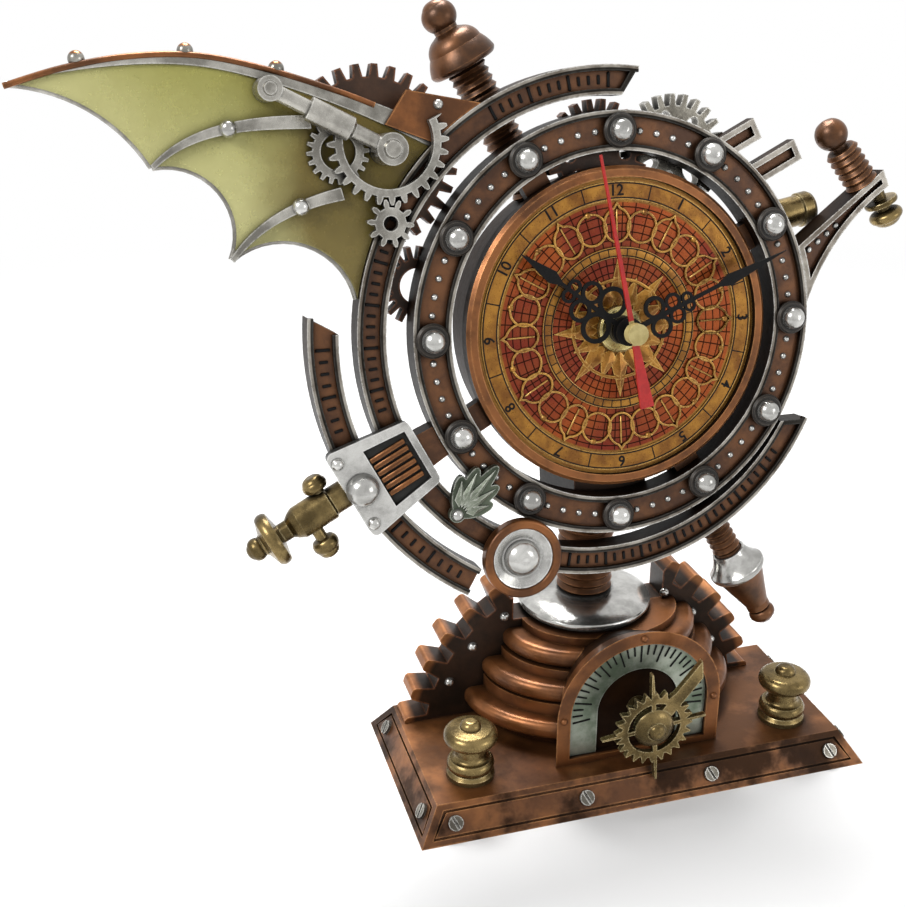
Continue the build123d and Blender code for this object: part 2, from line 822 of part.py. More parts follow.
# Taps: a turned valve that points away from the plate, with a capped stem on each side
tap_depth = frame_front + plate_thickness / 2 - tap_radius
with BuildPart() as taps:
    tap_start = plate_outer * cos(radians(plate_half_angle)) + seat
    h = tap_length
    turned(
        head_plane(on_band(tap_start, plate_angle), tap_depth, plate_angle),
        [
            (0.0, 0.85 * tap_radius),
            (0.14 * h, 0.85 * tap_radius),
            (0.16 * h, tap_radius),
            (0.48 * h, tap_radius),
            (0.54 * h, 0.80 * tap_radius),
            (0.58 * h, tap_neck_radius),
            (0.66 * h, tap_neck_radius),
            (0.69 * h, 0.92 * tap_flange_radius),
            (0.80 * h, 0.90 * tap_flange_radius, 0.20),
            (0.84 * h, 0.42 * tap_flange_radius),
            (0.86 * h, 0.36 * tap_flange_radius),
            (0.97 * h, 0.28 * tap_flange_radius, 0.22),
            (h, tip_flat, 0.12),
        ],
    )
    for r, length, side in zip(tap_side_r, tap_side_length, (-90, 90)):
        turned(
            head_plane(on_band(r, plate_angle), tap_depth, plate_angle + side),
            [
                (0.5 * tap_radius, 0.55 * tap_side_radius),
                (0.55 * length, 0.55 * tap_side_radius),
                (0.58 * length, tap_side_radius),
                (0.84 * length, tap_side_radius, 0.2),
                (length, 0.3 * tap_side_radius, 0.18),
            ],
        )
finish(taps, "taps")

boss_at = on_band(boss_r, boss_angle)
with BuildPart() as boss_ring:
    with BuildSketch(head_plane(boss_at, frame_front)):
        Circle(boss_ring_radius)
        Circle(boss_dish_radius + seat, mode=Mode.SUBTRACT)
    extrude(amount=boss_height)
    fillet(front_faces(boss_ring).edges(), (boss_ring_radius - boss_dish_radius) / 3)
finish(boss_ring, "boss_ring")

with BuildPart() as boss_dome:
    facing = Plane(origin=in_head(boss_at, frame_front), x_dir=HEAD.z_dir, z_dir=HEAD.x_dir)
    turned(
        facing,
        [
            (0.0, boss_dish_radius),
            (0.75 * boss_height, boss_dish_radius),
            (0.45 * boss_height, 1.1 * boss_dome_radius),
            (0.45 * boss_height, boss_dome_radius),
            (1.5 * boss_height, tip_flat, 0.22),
        ],
    )
finish(boss_dome, "boss_dome")

with BuildPart() as leaf_spray:
    with BuildSketch(head_plane(on_band(leaf_r, leaf_angle), frame_front)):
        Circle(leaf_width / 2)
        for angle, length in leaf_lobes:
            with Locations(Location((0, 0), angle)):
                with Locations((length / 2, 0)):
                    Ellipse(length / 2, leaf_width / 2)
    extrude(amount=leaf_thickness)
finish(leaf_spray, "leaf_spray")

# Finials: threaded rods behind the frame that end against the drum
upper_depth = frame_back - upper_rod_radius
with BuildPart() as upper_finial:
    bell = upper_bell_end - upper_bell_start
    ball = upper_bell_end + 0.16 * bell
    turned(
        head_plane((0, 0), upper_depth, upper_angle),
        ridges(drum_radius + seat, upper_bell_start, upper_rod_radius, rod_thread_depth, rod_pitch)
        + [
            (upper_bell_start, 0.90 * upper_bell_radius),
            (upper_bell_start + 0.14 * bell, upper_bell_radius, 0.12),
            (upper_bell_start + 0.58 * bell, 0.80 * upper_bell_radius, 0.05),
            (upper_bell_end, 0.46 * upper_bell_radius, 0.14),
            (upper_bell_end + 0.06 * bell, 0.34 * upper_bell_radius),
            (ball, 0.70 * upper_ball_radius),
            (ball + 1.3 * upper_ball_radius, 0.72 * upper_ball_radius, 0.23),
            (ball + 1.6 * upper_ball_radius, tip_flat, 0.15),
        ],
    )
finish(upper_finial, "upper_finial")

lower_depth = frame_back - lower_rod_radius
lower_axis = head_plane((0, 0), lower_depth, lower_angle)
cone_nut_end = cone_nut_start + cone_nut_length
with BuildPart() as lower_finial:
    turned(
        lower_axis,
        ridges(drum_radius + seat, cone_nut_end, lower_rod_radius, rod_thread_depth, rod_pitch)
        + [
            (cone_nut_end + seat, 0.86 * cone_nut_radius),
            (lower_tip - 1.90 * lower_ball_radius, 0.42 * cone_nut_radius),
            (lower_tip - 1.75 * lower_ball_radius, 0.95 * lower_ball_radius),
            (lower_tip - 1.45 * lower_ball_radius, 0.95 * lower_ball_radius),
            (lower_tip - 1.30 * lower_ball_radius, 0.72 * lower_ball_radius),
            (lower_tip - 0.35 * lower_ball_radius, 0.80 * lower_ball_radius, 0.31),
            (lower_tip, tip_flat, 0.14),
        ],
    )
finish(lower_finial, "lower_finial")

with BuildPart() as cone_nut:
    turned(
        lower_axis,
        [
            (cone_nut_start, lower_rod_radius + cone_nut_lip),
            (cone_nut_start + 0.72 * cone_nut_length, cone_nut_radius, -0.08),
            (cone_nut_end, 0.92 * cone_nut_radius, 0.14),
        ],
    )
    nut_face = in_head(polar(cone_nut_start, lower_angle), lower_depth)
    with BuildSketch(Plane(origin=nut_face, x_dir=HEAD.z_dir, z_dir=lower_axis.x_dir)):
        Circle(lower_rod_radius + seat)
    extrude(amount=cone_nut_length, mode=Mode.SUBTRACT)
finish(cone_nut, "cone_nut")

# Arm on the right of the ring: a tapering channel with a hollow lower edge
with BuildPart() as arm:
    root_upper, root_lower = (polar(ring_outer - rim_width, angle) for angle in arm_root_angles)
    with BuildSketch(HEAD.offset(frame_back)) as arm_outline:
        with BuildLine():
            Line(root_upper, arm_tip_upper)
            Line(arm_tip_upper, arm_tip_lower)
            ThreePointArc(arm_tip_lower, arm_hollow, root_lower)
            Line(root_lower, root_upper)
        make_face()
        Circle(ring_outer + seat, mode=Mode.SUBTRACT)
    extrude(amount=frame_front - frame_back)
    with BuildSketch(HEAD.offset(frame_front)):
        add(arm_outline.sketch_local)
        offset(amount=-rim_width, mode=Mode.REPLACE)
    extrude(amount=frame_floor - frame_front, mode=Mode.SUBTRACT)
finish(arm, "arm")


# Cuts what is fitted to the arm's edge back to that edge
def clear_of_arm():
    with BuildPart() as shape:
        with BuildSketch(HEAD.offset(2 * frame_back)):
            add(arm_outline.sketch_local)
        extrude(amount=-4 * frame_back)
    add(shape.part, mode=Mode.SUBTRACT)


arm_middle = (frame_back + frame_front) / 2
arm_edge = Vector(*arm_tip_upper) - Vector(*root_upper)
arm_slope = degrees(atan2(arm_edge.Y, arm_edge.X))
with BuildPart() as arm_screw:
    h = arm_screw_length
    ball = h + arm_screw_neck
    turned(
        head_plane(arm_screw_at, arm_middle, arm_slope + 90),
        ridges(-rod_thread_depth, h, arm_screw_radius, rod_thread_depth, rod_pitch)
        + [
            (h + seat, 0.45 * arm_screw_radius),
            (ball - seat, 0.45 * arm_screw_radius),
            (ball, 0.6 * arm_ball_radius),
            (ball + 1.6 * arm_ball_radius, 0.6 * arm_ball_radius, 0.25),
            (ball + 1.8 * arm_ball_radius, tip_flat, 0.03),
        ],
    )
    clear_of_arm()
finish(arm_screw, "arm_screw")

with BuildPart() as arm_thumbnut:
    h = thumb_length
    turned(
        head_plane(thumb_at, arm_middle, thumb_angle),
        [
            (0.0, 0.42 * thumb_radius),
            (0.30 * h, 0.42 * thumb_radius),
            (0.32 * h, thumb_radius),
            (0.44 * h, thumb_radius, 0.16),
            (0.50 * h, 0.45 * thumb_radius),
            (0.58 * h, 0.45 * thumb_radius),
            (0.62 * h, 0.85 * thumb_radius),
            (0.86 * h, 0.85 * thumb_radius, 0.32),
            (h, 0.15 * thumb_radius, 0.14),
        ],
    )
    clear_of_arm()
finish(arm_thumbnut, "arm_thumbnut")

with BuildPart() as vanes:
    for tip in vane_tips:
        with BuildSketch(head_plane(tip, frame_back, vane_angle)):
            Rectangle(vane_length, vane_width, align=(Align.MAX, Align.CENTER))
        extrude(amount=-vane_thickness)
        with BuildSketch(head_plane(tip, frame_back, vane_angle)):
            with Locations((-rim_width, 0)):
                Rectangle(vane_length, vane_width - 2 * rim_width, align=(Align.MAX, Align.CENTER))
        extrude(amount=-(frame_front - frame_floor), mode=Mode.SUBTRACT)
finish(vanes, "vanes")

barrel_span = Vector(*barrel_to) - Vector(*barrel_from)
with BuildPart() as barrel:
    length = barrel_span.length
    turned(
        head_plane(barrel_from, frame_back - barrel_radius, degrees(atan2(barrel_span.Y, barrel_span.X))),
        [
            (0.0, 0.9 * barrel_radius),
            (0.78 * length, 0.9 * barrel_radius),
            (0.80 * length, barrel_radius),
            (length - barrel_flange, barrel_radius),
            (length, 0.9 * barrel_radius),
            (length, 0.6 * barrel_radius),
            (length - 2 * barrel_flange, 0.55 * barrel_radius),
        ],
    )
finish(barrel, "barrel")

# Gears behind the frame
with BuildPart() as back_gears:
    for at, tip, teeth, hole in (
        (back_left_at, back_left_tip, back_left_teeth, back_left_hole),
        (back_top_at, back_top_tip, back_top_teeth, 0.0),
        (back_side_at, back_side_tip, back_side_teeth, 0.45 * back_side_tip),
    ):
        with BuildSketch(head_plane(at, frame_back - back_gear_thickness)):
            cast_gear(teeth, tip, tip - back_tooth)
            if hole:
                Circle(hole, mode=Mode.SUBTRACT)
            else:
                with PolarLocations(0.55 * tip, 8):
                    Circle(0.12 * tip, mode=Mode.SUBTRACT)
            with Locations((-at[0], -at[1])):
                Circle(drum_radius + seat, mode=Mode.SUBTRACT)
        extrude(amount=back_gear_thickness)
finish(back_gears, "back_gears")

with BuildPart() as back_gear_right:
    with BuildSketch(head_plane(back_right_at, frame_back - 2 * back_gear_thickness)):
        cast_gear(back_right_teeth, back_right_tip, back_right_tip - back_tooth)
        with PolarLocations(0.52 * back_right_tip, 7):
            Ellipse(0.20 * back_right_tip, 0.11 * back_right_tip, mode=Mode.SUBTRACT)
        with Locations((-back_right_at[0], -back_right_at[1])):
            Circle(drum_radius + seat, mode=Mode.SUBTRACT)
    extrude(amount=back_gear_thickness)
finish(back_gear_right, "back_gear_right")

# Gears in front: the large one is open towards the strut and meshes with the small one
gear_distance = gear_module * (gear_large_teeth + gear_small_teeth) / 2
gear_small_at = step_from(gear_large_at, gear_small_direction, gear_distance)
with BuildPart() as gear_large:
    with BuildSketch(head_plane(gear_large_at, frame_front)):
        add(gear_face(gear_large_teeth, gear_module, 0.0, gear_tooth_play))
        Circle(gear_large_hole, mode=Mode.SUBTRACT)
        with BuildLine():
            reach = gear_module * gear_large_teeth
            mouth_from, mouth_to = (polar(reach, angle) for angle in gear_mouth)
            Polyline((0, 0), mouth_from, (0, reach), mouth_to, close=True)
        make_face(mode=Mode.SUBTRACT)
    extrude(amount=gear_thickness)
finish(gear_large, "gear_large")

with BuildPart() as gear_small:
    with BuildSketch(head_plane(gear_small_at, frame_front)):
        turn = mesh_turn(0.0, gear_large_teeth, gear_small_teeth, gear_small_direction)
        add(gear_face(gear_small_teeth, gear_module, turn, gear_tooth_play))
        Circle(gear_small_hole, mode=Mode.SUBTRACT)
    extrude(amount=gear_thickness)
finish(gear_small, "gear_small")

with BuildPart() as gear_mid:
    with BuildSketch(head_plane(gear_mid_at, wing_front)):
        cast_gear(gear_mid_teeth, gear_mid_tip, 0.82 * gear_mid_tip)
        Circle(gear_mid_hole, mode=Mode.SUBTRACT)
    extrude(amount=frame_front - wing_front - seat)
finish(gear_mid, "gear_mid")

# Wing: the spar and the membrane share one curve, and the fingers lie on the membrane
wing_edge = band_outer + seat
spar_low = [(x, y - width) for (x, y), width in zip(spar_top, spar_widths)]
spar_root_low_angle = spar_root_angle + degrees(spar_root_width / wing_edge)
with BuildPart() as wing_spar:
    with BuildSketch(HEAD.offset(-spar_half_thickness)):
        with BuildLine():
            Spline(wing_tip, *spar_top, on_band(wing_edge, spar_root_angle))
            Spline(wing_tip, *spar_low, on_band(wing_edge, spar_root_low_angle))
            CenterArc((band_x, 0), wing_edge, spar_root_angle, spar_root_low_angle - spar_root_angle)
        make_face()
    extrude(amount=2 * spar_half_thickness)
    for knuckle in spar_knuckles:
        with Locations(in_head(knuckle)):
            Sphere(spar_knuckle_radius)
finish(wing_spar, "wing_spar")

with BuildPart() as wing_membrane:
    with BuildSketch(HEAD.offset(wing_back)):
        with BuildLine():
            Spline(wing_tip, *spar_low, on_band(wing_edge, spar_root_low_angle))
            CenterArc((band_x, 0), wing_edge, spar_root_low_angle, wing_low_angle - spar_root_low_angle)
            corners = (wing_tip, *finger_tips, on_band(wing_edge, wing_low_angle))
            for corner, middle, following in zip(corners, scallop_middles, corners[1:]):
                ThreePointArc(corner, middle, following)
        make_face()
    extrude(amount=wing_front - wing_back)
finish(wing_membrane, "wing_membrane")


# A flat tapering strip through a few points, as wide at each end as it is told
def strip(points, start_width, end_width):
    left, right = [], []
    for i, (x, y) in enumerate(points):
        before, after = points[max(0, i - 1)], points[min(len(points) - 1, i + 1)]
        run = hypot(after[0] - before[0], after[1] - before[1])
        half = (start_width + (end_width - start_width) * i / (len(points) - 1)) / 2
        nx, ny = -(after[1] - before[1]) / run * half, (after[0] - before[0]) / run * half
        left.append((x + nx, y + ny))
        right.append((x - nx, y - ny))
    with BuildSketch() as shape:
        with BuildLine():
            Spline(*left)
            Spline(*right)
            Line(left[0], right[0])
            Line(left[-1], right[-1])
        make_face()
    add(shape.sketch)


with BuildPart() as wing_fingers:
    for tip, run in zip(finger_tips, (finger_upper, finger_lower)):
        with BuildSketch(HEAD.offset(wing_front)):
            strip((tip, *run), finger_tip_width, finger_root_width)
        extrude(amount=finger_thickness)
finish(wing_fingers, "wing_fingers")

with BuildPart() as wing_root:
    with BuildSketch(HEAD.offset(spar_half_thickness)):
        with BuildLine():
            Polyline(*[on_band(wing_edge + out, angle) for angle, out in root_outline], close=True)
        make_face()
        with Locations((band_x, 0)):
            Circle(wing_edge, mode=Mode.SUBTRACT)
    extrude(amount=frame_front - spar_half_thickness - seat)
finish(wing_root, "wing_root")

# Strut: a rod with a sleeve between two pivots, in front of the wing
strut_span = Vector(*strut_to) - Vector(*strut_from)
strut_angle = degrees(atan2(strut_span.Y, strut_span.X))
with BuildPart() as strut:
    turned(
        head_plane(strut_from, strut_lift, strut_angle),
        [
            (0.0, strut_rod_radius),
            (strut_sleeve[0], strut_rod_radius),
            (strut_sleeve[0], strut_sleeve_radius),
            (strut_sleeve[1], strut_sleeve_radius),
            (strut_sleeve[1] + strut_cap, strut_rod_radius),
            (strut_span.length, strut_rod_radius),
        ],
    )
    for at, low, radius in (
        (strut_from, spar_half_thickness, strut_sleeve_radius),
        (strut_to, wing_front, strut_eye_radius),
    ):
        pivot = Plane(origin=in_head(at, low), x_dir=HEAD.z_dir, z_dir=HEAD.x_dir)
        top = strut_lift + strut_rod_radius + strut_cap_cover - low
        turned(pivot, [(0.0, radius), (top, radius), (top, 0.6 * radius), (top + strut_cap, 0.5 * radius)])
finish(strut, "strut")

# Small round-headed rivets: in the ring, the plate, the leaf, the arm, the wing and the arch
bolt_step = 360 / ring_bolts
ring_rivet_points = []
for bolt in range(ring_bolts):
    for i in range(rivets_between):
        place = bolt + 0.5 + (i - (rivets_between - 1) / 2) / (rivets_between + 1.6)
        ring_rivet_points.append(polar(bolt_r, ring_bolt_start + bolt_step * place))
arm_points = []
for share in arm_rivet_shares:
    on_edge = (root_upper[0] + arm_edge.X * share, root_upper[1] + arm_edge.Y * share)
    arm_points.append(step_from(on_edge, arm_slope - 90, rim_width + 2 * rivet_radius))
plate_rivet_r = plate_outer - plate_rivet_inset
plate_points = [on_band(plate_rivet_r, plate_angle + side * plate_rivet_spread) for side in (-1, 1)]
finger_points = [finger_upper[1], finger_lower[1]]
root_point = on_band(wing_edge + root_rivet[1], root_rivet[0])
with BuildPart() as small_rivets:
    for plane, points, radius in (
        (HEAD.offset(frame_floor), ring_rivet_points + arm_points, rivet_radius),
        (HEAD.offset(plate_front), plate_points, plate_rivet_radius),
        (HEAD.offset(frame_front + leaf_thickness), [on_band(leaf_r, leaf_angle)], plate_rivet_radius),
        (HEAD.offset(wing_front + finger_thickness), finger_points, finger_rivet_radius),
        (HEAD.offset(frame_front - seat), [root_point], root_rivet_radius),
        (arch_face, arch_points, arch_rivet_radius),
    ):
        with Locations(plane):
            with Locations(*points):
                Sphere(radius, arc_size1=0, align=standing)
finish(small_rivets, "small_rivets")

# Dial drum and dial plate
facing = Plane(origin=HEAD.origin, x_dir=HEAD.z_dir, z_dir=HEAD.x_dir)
dial_axis = Axis(HEAD.origin, HEAD.z_dir)
dial_seat = dial_radius + seat
with BuildPart() as dial_drum:
    with BuildSketch(facing):
        with BuildLine():
            Polyline(
                (drum_back, drum_bore),
                (drum_back, drum_radius),
                (drum_front - drum_rim_depth, drum_radius),
                (drum_front - drum_rim_depth, drum_rim_radius),
                (drum_front - drum_rim_round, drum_rim_radius),
                (drum_front, drum_rim_radius - drum_rim_round),
                (drum_front, dial_seat),
                (0, dial_seat),
                (0, drum_bore),
                close=True,
            )
        make_face()
    revolve(axis=dial_axis)
finish(dial_drum, "dial_drum")

with BuildPart() as dial_plate:
    with BuildSketch(HEAD):
        Circle(dial_radius)
        Circle(bush_radius + seat, mode=Mode.SUBTRACT)
    extrude(amount=dial_thickness)
    with BuildSketch(HEAD.offset(dial_thickness)):
        Circle(dial_numeral_ring[1])
        Circle(dial_numeral_ring[0], mode=Mode.SUBTRACT)
    extrude(amount=dial_ring_step)
finish(dial_plate, "dial_plate")

with BuildPart() as hand_nut:
    with BuildSketch(HEAD.offset(dial_thickness)):
        Circle(nut_radius)
        Circle(bush_radius + seat, mode=Mode.SUBTRACT)
    extrude(amount=nut_height)
    chamfer(front_faces(hand_nut).edges().sort_by(SortBy.RADIUS)[-1], nut_height / 4)
finish(hand_nut, "hand_nut")

# Movement: layers of wheels are counted from the dial to the back
def layer_front(i):
    return -case_wall - end_play - i * (layer_thickness + layer_gap)


def layer_back(i):
    return layer_front(i) - layer_thickness


# A pinion stands a little proud of the wheel that it meshes with
def pinion_front(i):
    return layer_front(i) + pinion_overlap


def pinion_back(i):
    return layer_back(i) - pinion_overlap


third_distance = train_module * (second_pinion_teeth + third_teeth) / 2
centre_module = 2 * third_distance / (third_pinion_teeth + centre_teeth)
intermediate_distance = train_module * (second_teeth + intermediate_pinion_teeth) / 2
rotor_distance = rotor_module * (intermediate_teeth + rotor_pinion_teeth) / 2
minute_distance = hour_module * (hour_teeth + minute_pinion_teeth) / 2
minute_module = 2 * minute_distance / (cannon_teeth + minute_teeth)
set_distance = minute_module * (minute_teeth + set_teeth) / 2
middle = (0.0, 0.0)
third_at = polar(third_distance, third_direction)
intermediate_at = polar(intermediate_distance, intermediate_direction)
rotor_at = step_from(intermediate_at, rotor_direction, rotor_distance)
minute_at = polar(minute_distance, minute_direction)
set_at = step_from(minute_at, set_direction, set_distance)
cover_front = case_wall - case_depth
battery_v = battery_radius + battery_play + case_wall - case_size / 2
battery_depth = -case_wall - battery_play - battery_radius
bay_top = battery_v + battery_radius + battery_play
inner_half = case_size / 2 - case_wall

hour_low = bush_length + end_play
hour_high = hour_low + hand_thickness
minute_low = hour_high + hand_gap
minute_high = minute_low + hand_thickness
second_low = minute_high + hand_gap
second_high = second_low + hand_thickness


# One wheel or pinion of the movement, from one depth to another
def wheel(at, back, front, teeth, module, turn=0.0):
    with BuildPart() as shape:
        with BuildSketch(head_plane(at, back)):
            add(gear_face(teeth, module, turn))
        extrude(amount=front - back)
    add(shape.part)


def rod(at, back, front, radius, mode=Mode.ADD):
    with BuildPart() as shape:
        with BuildSketch(head_plane(at, back)):
            Circle(radius)
        extrude(amount=front - back)
    add(shape.part, mode=mode)


with BuildPart() as movement_case:
    with BuildSketch(HEAD.offset(-case_depth)):
        RectangleRounded(case_size, case_size, case_corner)
    extrude(amount=case_depth)
    with BuildSketch(HEAD.offset(-case_depth)):
        RectangleRounded(2 * inner_half, 2 * inner_half, case_corner - case_wall)
    extrude(amount=case_depth - case_wall, mode=Mode.SUBTRACT)
    with BuildSketch(HEAD.offset(-case_depth)):
        with Locations((0, bay_top)):
            Rectangle(2 * inner_half + case_wall, bay_wall, align=(Align.CENTER, Align.MIN))
        for side in (-1, 1):
            stop = battery_length / 2 + battery_play
            with Locations((side * (stop + inner_half) / 2, battery_v)):
                Rectangle(inner_half - stop + seat, battery_radius)
    extrude(amount=case_depth - case_wall)
    rod(middle, -case_wall, bush_length, bush_radius)
    rod(middle, -case_depth, bush_length, hour_pipe_radius + fit, Mode.SUBTRACT)
    rod(minute_at, pinion_back(1), -case_wall, pin_radius)
finish(movement_case, "movement_case")

with BuildPart() as movement_cover:
    cover_low = bay_top + bay_wall + seat
    with BuildSketch(HEAD.offset(-case_depth)):
        with Locations((0, (cover_low + inner_half - seat) / 2)):
            Rectangle(2 * (inner_half - seat), inner_half - seat - cover_low)
        fillet(vertices().group_by(Axis.Y)[-1], case_corner - case_wall)
    extrude(amount=case_wall)
    rod(third_at, cover_front - seat, layer_front(2) + 2 * pinion_overlap, pin_radius)
    rod(intermediate_at, cover_front - seat, pinion_front(4), pin_radius)
    rod(rotor_at, cover_front - seat, layer_front(5) + 2 * pinion_overlap + magnet_height, pin_radius)
    rod(middle, -case_depth, cover_front, second_arbor_radius + fit, Mode.SUBTRACT)
    rod(set_at, -case_depth, cover_front, set_stem_radius + fit, Mode.SUBTRACT)
finish(movement_cover, "movement_cover")

cannon_turn = 0.0
minute_turn = mesh_turn(cannon_turn, cannon_teeth, minute_teeth, minute_direction)
hour_turn = mesh_turn(0.0, minute_pinion_teeth, hour_teeth, minute_direction + 180)
with BuildPart() as hour_wheel:
    wheel(middle, layer_back(0), layer_front(0), hour_teeth, hour_module, hour_turn)
    rod(middle, layer_back(0), hour_high + end_play, hour_pipe_radius)
    rod(middle, layer_back(0), hour_high + end_play, minute_pipe_radius + fit, Mode.SUBTRACT)
finish(hour_wheel, "hour_wheel")

with BuildPart() as cannon_pinion:
    wheel(middle, pinion_back(1), pinion_front(1), cannon_teeth, minute_module, cannon_turn)
    rod(middle, layer_front(2) + fit, minute_high + end_play, minute_pipe_radius)
    rod(middle, layer_front(2) + fit, minute_high + end_play, second_arbor_radius + fit, Mode.SUBTRACT)
finish(cannon_pinion, "cannon_pinion")

with BuildPart() as minute_wheel:
    wheel(minute_at, layer_back(1), layer_front(1), minute_teeth, minute_module, minute_turn)
    wheel(minute_at, layer_front(1), pinion_front(0), minute_pinion_teeth, hour_module)
    rod(minute_at, layer_back(1), pinion_front(0), pin_radius + fit, Mode.SUBTRACT)
finish(minute_wheel, "minute_wheel")

with BuildPart() as set_knob:
    set_turn = mesh_turn(minute_turn, minute_teeth, set_teeth, set_direction)
    knob_front = -case_depth - end_play
    wheel(set_at, pinion_back(1), pinion_front(1), set_teeth, minute_module, set_turn)
    rod(set_at, knob_front, layer_back(1), set_stem_radius)
    with BuildSketch(head_plane(set_at, knob_front - set_knob_height)):
        cast_gear(set_knob_ridges, set_knob_radius, 0.92 * set_knob_radius)
    extrude(amount=set_knob_height)
finish(set_knob, "set_knob")

with BuildPart() as second_wheel:
    wheel(middle, pinion_back(3), pinion_front(3), second_pinion_teeth, train_module)
    wheel(middle, layer_back(4), layer_front(4), second_teeth, train_module)
    rod(middle, -case_depth + end_play, second_high + end_play, second_arbor_radius)
    rod(middle, layer_front(4), layer_back(3), sleeve_radius * 0.8)
finish(second_wheel, "second_wheel")

with BuildPart() as centre_wheel:
    centre_turn = mesh_turn(0.0, third_pinion_teeth, centre_teeth, third_direction + 180)
    wheel(middle, layer_back(2), layer_front(2), centre_teeth, centre_module, centre_turn)
    rod(middle, layer_back(2), layer_front(2), second_arbor_radius + fit, Mode.SUBTRACT)
finish(centre_wheel, "centre_wheel")

with BuildPart() as third_wheel:
    third_turn = mesh_turn(0.0, second_pinion_teeth, third_teeth, third_direction)
    wheel(third_at, layer_back(3), layer_front(3), third_teeth, train_module, third_turn)
    wheel(third_at, layer_front(3), pinion_front(2), third_pinion_teeth, centre_module)
    rod(third_at, cover_front + end_play, layer_back(3), sleeve_radius)
    rod(third_at, cover_front, pinion_front(2), pin_radius + fit, Mode.SUBTRACT)
finish(third_wheel, "third_wheel")

with BuildPart() as intermediate_wheel:
    pinion_turn = mesh_turn(0.0, second_teeth, intermediate_pinion_teeth, intermediate_direction)
    wheel(intermediate_at, layer_back(5), layer_front(5), intermediate_teeth, rotor_module)
    teeth = intermediate_pinion_teeth
    wheel(intermediate_at, layer_front(5), layer_front(4), teeth, train_module, pinion_turn)
    rod(intermediate_at, cover_front + end_play, layer_back(5), sleeve_radius)
    rod(intermediate_at, cover_front, layer_front(4), pin_radius + fit, Mode.SUBTRACT)
finish(intermediate_wheel, "intermediate_wheel")

with BuildPart() as rotor:
    rotor_turn = mesh_turn(0.0, intermediate_teeth, rotor_pinion_teeth, rotor_direction)
    magnet_back = layer_front(5) + 2 * pinion_overlap
    wheel(rotor_at, layer_back(5), magnet_back, rotor_pinion_teeth, rotor_module, rotor_turn)
    rod(rotor_at, magnet_back, magnet_back + magnet_height, magnet_radius)
    rod(rotor_at, cover_front + end_play, layer_back(5), sleeve_radius * 0.7)
    rod(rotor_at, cover_front, magnet_back + magnet_height, pin_radius + fit, Mode.SUBTRACT)
finish(rotor, "rotor")

with BuildPart() as coil:
    end = coil_length - coil_flange
    turned(
        head_plane((coil_at[0], coil_at[1] - coil_length / 2), -case_wall - seat - coil_radius, 90),
        [
            (0.0, coil_radius),
            (coil_flange, coil_radius),
            (coil_flange, 0.82 * coil_radius),
            (end, 0.82 * coil_radius),
            (end, coil_radius),
            (coil_length, coil_radius),
        ],
    )
finish(coil, "coil")

with BuildPart() as circuit_board:
    with BuildSketch(head_plane(board_at, -case_wall)):
        Rectangle(board_size[0], board_size[1])
    extrude(amount=-board_size[2])
    with BuildSketch(head_plane(board_at, -case_wall - board_size[2])):
        Rectangle(chip_size[0], chip_size[1])
    extrude(amount=-chip_size[2])
finish(circuit_board, "circuit_board")

with BuildPart() as battery:
    body_end = battery_length - battery_nub[1]
    turned(
        head_plane((-battery_length / 2, battery_v), battery_depth),
        [
            (0.0, battery_radius),
            (body_end, battery_radius),
            (body_end, battery_nub[0]),
            (battery_length, battery_nub[0]),
        ],
    )
finish(battery, "battery")

# Hands: flat scrolled blades, each pressed on its pipe or arbor
def scroll_hand(low, angle, length, loops, leaf, bore):
    with BuildPart() as shape:
        with BuildSketch(head_plane(middle, low, angle)):
            for mode in (Mode.ADD, Mode.SUBTRACT):
                for along, aside, radius, hole in loops:
                    with Locations((along, aside), (along, -aside)):
                        Circle(radius if mode == Mode.ADD else hole, mode=mode)
            foot, neck = (width / 2 for width in hand_stem_widths)
            leaf_start, leaf_middle, leaf_width = leaf
            half = leaf_width / 2
            upper = [(0, foot), (leaf_start, neck), (leaf_middle, half)]
            lower = [(x, -y) for x, y in reversed(upper)]
            Polygon(*upper, (length, 0), *lower, align=None)
            Circle(hand_hub_radius)
            Circle(bore, mode=Mode.SUBTRACT)
        extrude(amount=hand_thickness)
    add(shape.part)


with BuildPart() as hour_hand:
    scroll_hand(hour_low, hour_angle, hour_length, hour_loops, hour_leaf, hour_pipe_radius + seat)
finish(hour_hand, "hour_hand")

with BuildPart() as minute_hand:
    minute_hole = minute_pipe_radius + seat
    scroll_hand(minute_low, minute_angle, minute_length, minute_loops, minute_leaf, minute_hole)
finish(minute_hand, "minute_hand")

with BuildPart() as second_hand:
    with BuildSketch(head_plane(middle, second_low, second_angle)):
        tail, root, tip = (width / 2 for width in second_widths)
        upper = [(-second_tail, tail), (0, root), (second_length, tip)]
        lower = [(x, -y) for x, y in reversed(upper)]
        Polygon(*upper, *lower, align=None)
        Circle(second_hub_radius)
    extrude(amount=hand_thickness)
    rod(middle, second_high, second_high + cap_height, cap_radius)
    rod(middle, second_low, second_high + end_play + seat, second_arbor_radius + seat, Mode.SUBTRACT)
finish(second_hand, "second_hand")
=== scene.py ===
import json
import math

import bpy
from mathutils import Matrix, Vector, geometry


